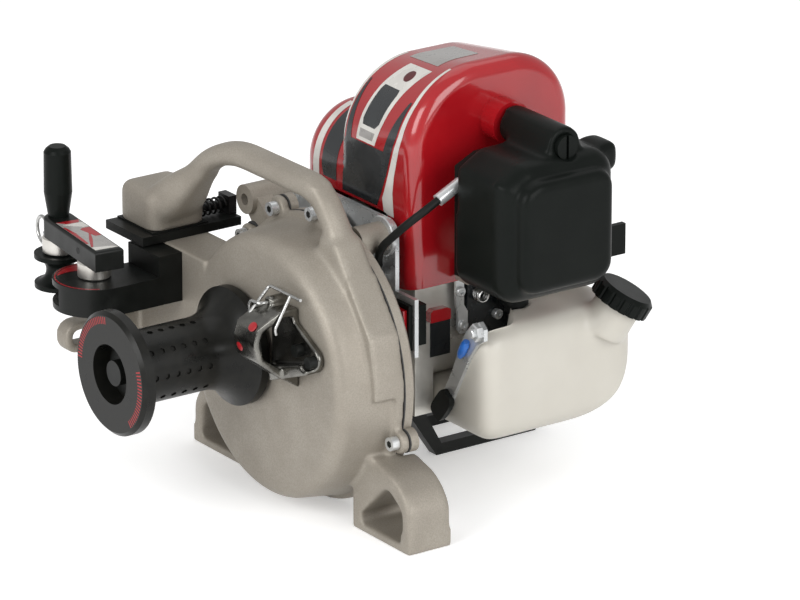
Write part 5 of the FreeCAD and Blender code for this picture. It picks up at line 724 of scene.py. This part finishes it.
CREST = [(hump, [(112, -20, 20), (146, -18, 18)])]
films("shroud_dark_film", CHARCOAL, "black_plastic", DARK_BANDS)
films("shroud_white_film", WHITE_FILM, "white_plastic", WHITE_BANDS)
films("shroud_plate", WHITE_FILM, "white_plastic", PLATE)
films("shroud_plate_field", CHARCOAL, "black_plastic", PLATE_FIELD, SECOND_LIFT)
films("shroud_plate_band", GREY_FILM, "white_plastic", PLATE_BAND, SECOND_LIFT)
films("shroud_crest_film", GREY_FILM, "white_plastic", CREST)


def disc_rows(x, along, radius, count=14):
    """Rows of a round spot."""
    rows = []
    for index in range(1, count):
        angle = math.pi * index / count
        half = radius * math.sin(angle)
        rows.append((along - radius * math.cos(angle), x - half, x + half))
    return rows


plug = Shells()
plug.ribbon(disc_rows(x=6.5, along=96.0, radius=5.0), SECOND_LIFT, FILM_THICK, hump)
plug.piece("shroud_plug", "winch", "red_plastic", DEEP_RED)


# Gate lever: its film and a black disc of painted shade in the mouth of the pin hole, in the lever's own
# directions

GATE_ANGLE = math.radians(173)
GUIDE_PIN = (-124.0, -78.0)
LEVER_TOP = 160.0
LEVER_SIDE = 10.35
LEVER_ALONG = Vector((math.cos(GATE_ANGLE), math.sin(GATE_ANGLE), 0))
LEVER_ACROSS = Vector((LEVER_ALONG.y, -LEVER_ALONG.x, 0))
LEVER_STEP = 4.0
HOLE_Z = 153.0
HOLE_ALONG = 3.0
HOLE_SINK = 0.4
HOLE_PROFILE = [(2.2, 0), (2.2, 0.5), (1.6, 0.42)]


def lever_spot(across, along, lift):
    place = Vector((*GUIDE_PIN, LEVER_TOP)) + LEVER_ALONG * along + LEVER_ACROSS * across
    return place.x, place.y, place.z + lift


def lever_films(name, material, slot, bands, lift):
    shells = Shells()
    for knots in bands:
        shells.ribbon(between(knots, LEVER_STEP), lift, FILM_THICK, lever_spot)
    shells.piece(name, "gate", slot, material)


LEVER_GREY = [[(-20, -8.3, 8.3), (41, -8.3, 8.3)]]
LEVER_RED = [
    [(-13, -8.2, -6.5), (2, -2.5, 0), (12, 2, 3.2)],
    [(6, 4, 8.2), (22, 0.5, 8.2), (24, 3, 8.2)],
    [(-6, -8.2, -6.6), (16, -8.2, -5.4), (30, -8.2, -7)],
    [(36, -3, 6), (41, -8.2, 8.2)],
]
LEVER_WHITE = [
    [(-20, -8.2, 8.2), (-17, -8.2, 5), (-14.5, -8.2, -6.6)],
    [(26, 5, 8.2), (35, -6, 8.2)],
]
lever_films("lever_film", GREY_FILM, "white_plastic", LEVER_GREY, 0.0)
lever_films("lever_red_film", RED_FILM, "red_plastic", LEVER_RED, FILM_THICK)
lever_films("lever_white_film", WHITE_FILM, "white_plastic", LEVER_WHITE, FILM_THICK)

# A black disc sunk into the mouth of the pin hole: painted shade for the hole
mouth = Shells()
hole = Vector((*GUIDE_PIN, HOLE_Z)) + LEVER_ALONG * HOLE_ALONG
mouth.turned(hole - LEVER_ACROSS * (LEVER_SIDE - HOLE_SINK), -LEVER_ACROSS, HOLE_PROFILE, 24)
mouth.piece("lever_hole_shade", "gate", "black_steel", SOCKET_SHADE)


# Red line and crescent on the upper cheek of the rope guide: knots are (angle, inner and outer radius)

CHEEK_TOP = 134.5
CHEEK_STEP = 5.0
CHEEK_LINE = [(150, 25.9, 26.7), (335, 25.9, 26.7)]
CHEEK_CRESCENT = [(130, 23, 24.5), (150, 15, 25), (185, 14, 25), (215, 20, 25), (232, 24, 25)]


def cheek_spot(radius, angle, lift):
    return (
        GUIDE_PIN[0] + radius * math.cos(math.radians(angle)),
        GUIDE_PIN[1] + radius * math.sin(math.radians(angle)),
        CHEEK_TOP + lift,
    )


crescent = Shells()
for knots in (CHEEK_LINE, CHEEK_CRESCENT):
    crescent.ribbon(between(knots, CHEEK_STEP), 0.0, FILM_THICK, cheek_spot)
crescent.piece("cheek_film", "winch", "red_plastic", RED_FILM)


# Threaded anchor stud

STUD_PLACE = (-155.0, -52.0, 0.0)
STUD_FOOT = [(4.0, 67.0), (4.5, 67.5)]
STUD_TIP = [(4.5, 98.2), (4.0, 98.9)]
THREAD_START = 67.8
THREAD_PITCH = 2.0
THREAD_COUNT = 15
THREAD_TURN = [(4.98, 0.5), (4.98, 1.0), (4.3, 1.6), (4.3, 1.9)]

stud = Shells()
stud_profile = list(STUD_FOOT)
for index in range(THREAD_COUNT):
    low = THREAD_START + index * THREAD_PITCH
    stud_profile += [(radius, low + rise) for radius, rise in THREAD_TURN]
stud.turned(STUD_PLACE, ALONG_Z, stud_profile + STUD_TIP, 32)
stud_piece = stud.piece("threaded_stud", "winch", "zinc_steel")
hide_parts("anchor_stud")


# Painted shade for the screw sockets: black hexagons on the screw heads

SAME_POINT = 1e-6
CASE_SOCKET = 4.4
TAIL_SOCKET = 4.0
SOCKET_LIFT = 0.05
SOCKET_SINK = 0.4


def islands(node):
    """Boxes of the separate solids in a node, in millimetres from the floor point."""
    mesh = bmesh.new()
    mesh.from_mesh(nodes[node].data)
    bmesh.ops.remove_doubles(mesh, verts=mesh.verts, dist=SAME_POINT)
    left = set(mesh.verts)
    boxes = []
    while left:
        seed = left.pop()
        queue, group = [seed], [seed]
        while queue:
            for edge in queue.pop().link_edges:
                for vertex in edge.verts:
                    if vertex in left:
                        left.remove(vertex)
                        queue.append(vertex)
                        group.append(vertex)
        places = [from_floor_point(vertex.co) for vertex in group]
        boxes.append(([min(axis) for axis in zip(*places)], [max(axis) for axis in zip(*places)]))
    mesh.free()
    return sorted(boxes)


def socket_shades(name, node, width):
    """Black hexagons on the heads of screws that face the front: painted shade where each socket is."""
    shells = Shells()
    profile = [(width / 2, -SOCKET_LIFT), (width / 2, SOCKET_SINK)]
    for low, high in islands(node):
        face = ((low[0] + high[0]) / 2, low[1], (low[2] + high[2]) / 2)
        shells.turned(face, ALONG_Y, profile, 24, 6)
    shells.piece(name, "winch", "black_steel", SOCKET_SHADE)


socket_shades("case_screw_socket_shade", "case_screws", CASE_SOCKET)
socket_shades("tail_screw_socket_shade", "tail_guide_screws", TAIL_SOCKET)


# Collars where the engine posts meet the plate

POSTS_X = (-83.98, 27.99)
POSTS_Z = (111.04, 180.98)
COLLAR_Y = 46.8
COLLAR_PROFILE = [(10.4, 0), (13.0, 0.4), (13.6, 1.2), (13.6, 3.2)]

collars = Shells()
for x in POSTS_X:
    for z in POSTS_Z:
        collars.turned((x, COLLAR_Y, z), ALONG_Y, COLLAR_PROFILE, 48)
collars.piece("post_collars", "winch", "zinc_steel")


# Red spots on the tail guide: place and facing

SPOTS = [((35.5, -59.0, 143.2), (0, -0.75, 0.66)), ((22.8, -60.4, 126.0), (0, -0.97, -0.26))]
SPOT_PROFILE = [(3.4, -0.8), (3.2, 0.1), (2.2, 0.45)]

spots = Shells()
for place, facing in SPOTS:
    spots.turned(place, facing, SPOT_PROFILE, 28)
spots.piece("tail_guide_spots", "winch", "red_plastic", RED_FILM)


# Blank plate and red connector on the right side of the crankcase; outlines are (y, z)

CRANKCASE_SIDE = 38.0
BLANK_OUTLINE = [(79, 93), (95, 93), (95, 119), (79, 119)]
BLANK_THICK = 0.5
CONNECTOR_OUTLINE = [(76, 119), (92, 119), (92, 126), (89, 127.5), (78, 127.5), (76, 126)]
CONNECTOR_START = 37.5
CONNECTOR_THICK = 6.0

blank = Shells()
blank.side_plate(BLANK_OUTLINE, CRANKCASE_SIDE, BLANK_THICK)
blank.piece("crankcase_plate", "winch", "black_plastic", CHARCOAL)
connector = Shells()
connector.side_plate(CONNECTOR_OUTLINE, CONNECTOR_START, CONNECTOR_THICK)
connector.piece("red_connector", "winch", "red_plastic")


# Strip at the front of the tank with its nut, screw and bosses, rubber shoe and sleeved terminal

STRIP_OUTLINE = [
    (74, 116), (70, 108), (63, 92), (52, 72), (46, 62), (53, 57), (61, 68), (72, 88),
    (82, 106), (90, 117), (98, 122), (98, 130), (93, 134), (85, 130), (78, 123),
]
STRIP_BACK = (0, 82.4, 0)
STRIP_THICK = 3.0
FORWARD = (0, -1, 0)
NUT_PLACE = (92.0, 79.4, 127.0)
NUT_PROFILE = [(5.4, 0), (5.4, 3.4), (4.7, 4.2)]
SCREW_END_PLACE = (92.0, 75.4, 127.0)
SCREW_END_PROFILE = [(3.2, -0.4), (3.2, 2.2), (2.6, 2.8)]
BOSS_PLACES = [(72.0, 81.0, 98.0), (57.0, 81.0, 68.0)]
BOSS_PROFILE = [(3.4, 0), (3.4, 15.0), (2.8, 15.6)]
SHOE_PLACE = Vector((54.0, 80.0, 65.0))
SHOE_ALONG = Vector((0.62, 0, 0.78))
SHOE_UP = Vector((-0.78, 0, 0.62))
SHOE_HALF = (12.0, 7.0)
SHOE_DEPTH = Vector((0, -4.0, 0))
SLEEVE_PLACE = (76.0, 77.0, 107.5)
SLEEVE_ALONG = (0.5, 0, 0.86)
SLEEVE_PROFILE = [(1.6, -3), (2.6, 0), (3.0, 2), (3.0, 9), (2.2, 12)]

hanger = Shells()
hanger.plate(STRIP_OUTLINE, STRIP_BACK, ALONG_X, ALONG_Z, STRIP_THICK)
hanger.turned(NUT_PLACE, FORWARD, NUT_PROFILE, 36, 6)
hanger.turned(SCREW_END_PLACE, FORWARD, SCREW_END_PROFILE, 28)
for place in BOSS_PLACES:
    hanger.turned(place, ALONG_Y, BOSS_PROFILE, 28)
hanger.piece("tank_hanger", "winch", "zinc_steel")
shoe = Shells()
shoe_ring = oval(SHOE_PLACE, SHOE_ALONG, SHOE_UP, *SHOE_HALF)
shoe.rings([shoe_ring, [point + SHOE_DEPTH for point in shoe_ring]])
shoe.piece("hanger_shoe", "winch", "black_rubber")
sleeve = Shells()
sleeve.turned(SLEEVE_PLACE, SLEEVE_ALONG, SLEEVE_PROFILE, 28)
sleeve.piece("terminal_sleeve", "winch", "black_rubber", BLUE_SLEEVE)


# Inlet block under the cleaner with its stay, screws and return spring; outlines are (y, z)

BLOCK_OUTLINE = [
    (102, 106), (138, 100), (141, 104), (141, 147), (138, 150), (104, 150), (101, 147), (101, 109)
]
BLOCK_THICK = 4.5
FLANGE_OUTLINE = [
    (106, 122), (119, 122), (121, 124), (121, 145), (119, 147), (106, 147), (104, 145), (104, 124)
]
FLANGE_THICK = 3.0
BLOCK_FACE = CRANKCASE_SIDE + 4.3
STAY_OUTLINE = [
    (95.5, 150), (95.5, 128), (97, 124), (97, 110), (99, 107), (103, 107), (105, 110), (105, 122),
    (102, 127), (102, 150),
]
STAY_THICK = 2.0
STAY_SCREWS = [(98.7, 137.0), (101.0, 113.0), (129.0, 137.0), (129.0, 115.0)]
STAY_SCREW_PROFILE = [(3.4, 0), (3.4, 3.6), (2.9, 4.2), (1.6, 4.2), (1.5, 3.0)]
SPRING_START = CRANKCASE_SIDE + 7.0
SPRING_LENGTH = 7.6
SPRING_MIDDLE = (112.5, 133.0)
SPRING_RADIUS = 4.2
SPRING_WIRE = 0.8
SPRING_TURNS = 3.5
SPRING_STEPS = 84

block = Shells()
block.side_plate(BLOCK_OUTLINE, CRANKCASE_SIDE, BLOCK_THICK)
block.side_plate(FLANGE_OUTLINE, BLOCK_FACE, FLANGE_THICK)
block.piece("inlet_block", "winch", "black_plastic", CHARCOAL)
stay = Shells()
stay.side_plate(STAY_OUTLINE, BLOCK_FACE, STAY_THICK)
for y, z in STAY_SCREWS:
    stay.turned((BLOCK_FACE, y, z), ALONG_X, STAY_SCREW_PROFILE, 32)
stay.piece("inlet_stay", "winch", "zinc_steel")
coil = []
for step in range(SPRING_STEPS + 1):
    share = step / SPRING_STEPS
    angle = math.tau * SPRING_TURNS * share
    spring_y = SPRING_MIDDLE[0] + SPRING_RADIUS * math.cos(angle)
    spring_z = SPRING_MIDDLE[1] + SPRING_RADIUS * math.sin(angle)
    coil.append((SPRING_START + SPRING_LENGTH * share, spring_y, spring_z))
spring = Shells()
spring.tube(coil, SPRING_WIRE, 10)
spring.piece("inlet_spring", "winch", "spring_steel")


# Bent wire keeper over the mouth of the tail guide

KEEPER_WIRE = 1.1
KEEPER_HOOP = [(19.5, -50.6, 145.9), (19.5, -34.6, 161.5), (55.0, -34.6, 161.5)]
KEEPER_HOOP_BEND = 3.0
KEEPER_LEG = [(43.6, -34.6, 161.5), (43.6, -47.0, 140.5), (43.6, -46.0, 137.0)]
KEEPER_LEG_BEND = 2.0


def bent(points, radius, steps=7):
    """A path whose corners are rounded."""
    points = [Vector(point) for point in points]
    path = [points[0]]
    for before, corner, after in zip(points, points[1:], points[2:]):
        start = corner + (before - corner).normalized() * radius
        end = corner + (after - corner).normalized() * radius
        for step in range(steps + 1):
            share = step / steps
            near = start * (1 - share) ** 2 + corner * 2 * share * (1 - share)
            path.append(near + end * share**2)
    return path + [points[-1]]


keeper = Shells()
keeper.tube(bent(KEEPER_HOOP, KEEPER_HOOP_BEND), KEEPER_WIRE)
keeper.tube(bent(KEEPER_LEG, KEEPER_LEG_BEND), KEEPER_WIRE)
keeper.piece("wire_keeper", "winch", "spring_steel")


# The throttle cable, on the route of its solid

CABLE_ROUTE = [
    (69.3, 63.0, 214.0),
    (69.3, 52.3, 208.7),
    (63.3, 45.0, 201.0),
    (52.7, 40.5, 190.1),
    (43.4, 36.0, 179.6),
    (36.6, 38.5, 169.0),
    (30.0, 44.0, 160.5),
    (21.0, 44.0, 154.0),
]
CABLE_RADIUS = 2.75


def cable_piece():
    line = bpy.data.curves.new("cable", "CURVE")
    line.dimensions = "3D"
    line.bevel_depth = CABLE_RADIUS * MM
    line.bevel_resolution = 6
    line.resolution_u = 12
    line.use_fill_caps = True
    spline = line.splines.new("NURBS")
    spline.points.add(len(CABLE_ROUTE) - 1)
    for point, spot in zip(spline.points, CABLE_ROUTE):
        point.co = (*at(*spot), 1.0)
    spline.order_u = 3
    spline.use_endpoint_u = True
    line.materials.append(MATERIALS["black_rubber"])
    cable = bpy.data.objects.new("cable", line)
    bpy.context.scene.collection.objects.link(cable)
    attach(cable, "winch")
    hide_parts("throttle_cable")
    return cable


cable = cable_piece()


# Floor, light and camera, in metres

FLOOR_GLOW = 0.34
FLOOR_HALF = 6.0
SKY_STRENGTH = 0.58
WHITE = (1.0, 1.0, 1.0, 1.0)
# Name, place, target, size and power of each lamp
LAMPS = [
    ("key_light", (0.5, -1.8, 1.1), (0, 0, 0.12), 1.2, 24),
    ("side_light", (1.9, 0.2, 0.9), (0, 0, 0.12), 1.2, 19),
    ("top_light", (-0.4, 0.5, 2.0), (0, 0, 0.1), 1.6, 6),
]
CAMERA_TARGET = at(31.0, 60.0, 135.0)
CAMERA_AZIMUTH = math.radians(55)
CAMERA_ELEVATION = math.radians(20)
CAMERA_DISTANCE = 4.0
CAMERA_LENS = 275.4
CAMERA_SENSOR = 36.0
CAMERA_REACH = 50.0


def floor_paint():
    """White paint that is seen a little brighter than it is lit, so that it meets the white studio."""
    material = surface(
        "floor_paint", light=(0.94, 0.94, 0.94), dark=(0.92, 0.92, 0.92), rough=(0.7, 0.8),
        grain=4.0, depth=0.02, mottle=300.0,
    )
    tree = material.node_tree
    shader = next(n for n in tree.nodes if n.type == "BSDF_PRINCIPLED")
    path = tree.nodes.new("ShaderNodeLightPath")
    seen = path.outputs["Is Camera Ray"]
    for ray in ("Is Glossy Ray", "Is Transmission Ray"):
        seen = maths(tree, "MAXIMUM", seen, path.outputs[ray])
    glow = maths(tree, "MULTIPLY", seen, FLOOR_GLOW)
    tree.links.new(glow, shader.inputs["Emission Strength"])
    shader.inputs["Emission Color"].default_value = WHITE
    return material


def floor_piece():
    mesh = bpy.data.meshes.new("floor")
    corners = [(-1, -1), (1, -1), (1, 1), (-1, 1)]
    mesh.from_pydata([(x * FLOOR_HALF, y * FLOOR_HALF, 0) for x, y in corners], [], [(0, 1, 2, 3)])
    floor = bpy.data.objects.new("floor", mesh)
    bpy.context.scene.collection.objects.link(floor)
    mesh.materials.append(floor_paint())


def area_light(name, place, target, size, power):
    lamp = bpy.data.lights.new(name, "AREA")
    lamp.size = size
    lamp.energy = power
    light = bpy.data.objects.new(name, lamp)
    light.location = place
    ahead = Vector(target) - Vector(place)
    light.rotation_euler = ahead.to_track_quat("-Z", "Y").to_euler()
    bpy.context.scene.collection.objects.link(light)


def sky():
    world = bpy.data.worlds.new("studio")
    world.use_nodes = True
    background = next(n for n in world.node_tree.nodes if n.type == "BACKGROUND")
    background.inputs["Color"].default_value = WHITE
    background.inputs["Strength"].default_value = SKY_STRENGTH
    bpy.context.scene.world = world


def camera():
    lens = bpy.data.cameras.new("camera")
    lens.lens = CAMERA_LENS
    lens.sensor_width = CAMERA_SENSOR
    lens.clip_end = CAMERA_REACH
    eye = bpy.data.objects.new("camera", lens)
    level = math.cos(CAMERA_ELEVATION)
    away = Vector(
        (
            math.sin(CAMERA_AZIMUTH) * level,
            -math.cos(CAMERA_AZIMUTH) * level,
            math.sin(CAMERA_ELEVATION),
        )
    )
    eye.location = CAMERA_TARGET + away * CAMERA_DISTANCE
    eye.rotation_euler = (-away).to_track_quat("-Z", "Y").to_euler()
    bpy.context.scene.collection.objects.link(eye)
    bpy.context.scene.camera = eye


floor_piece()
for lamp in LAMPS:
    area_light(*lamp)
sky()
camera()
bpy.context.scene.view_settings.view_transform = "Standard"
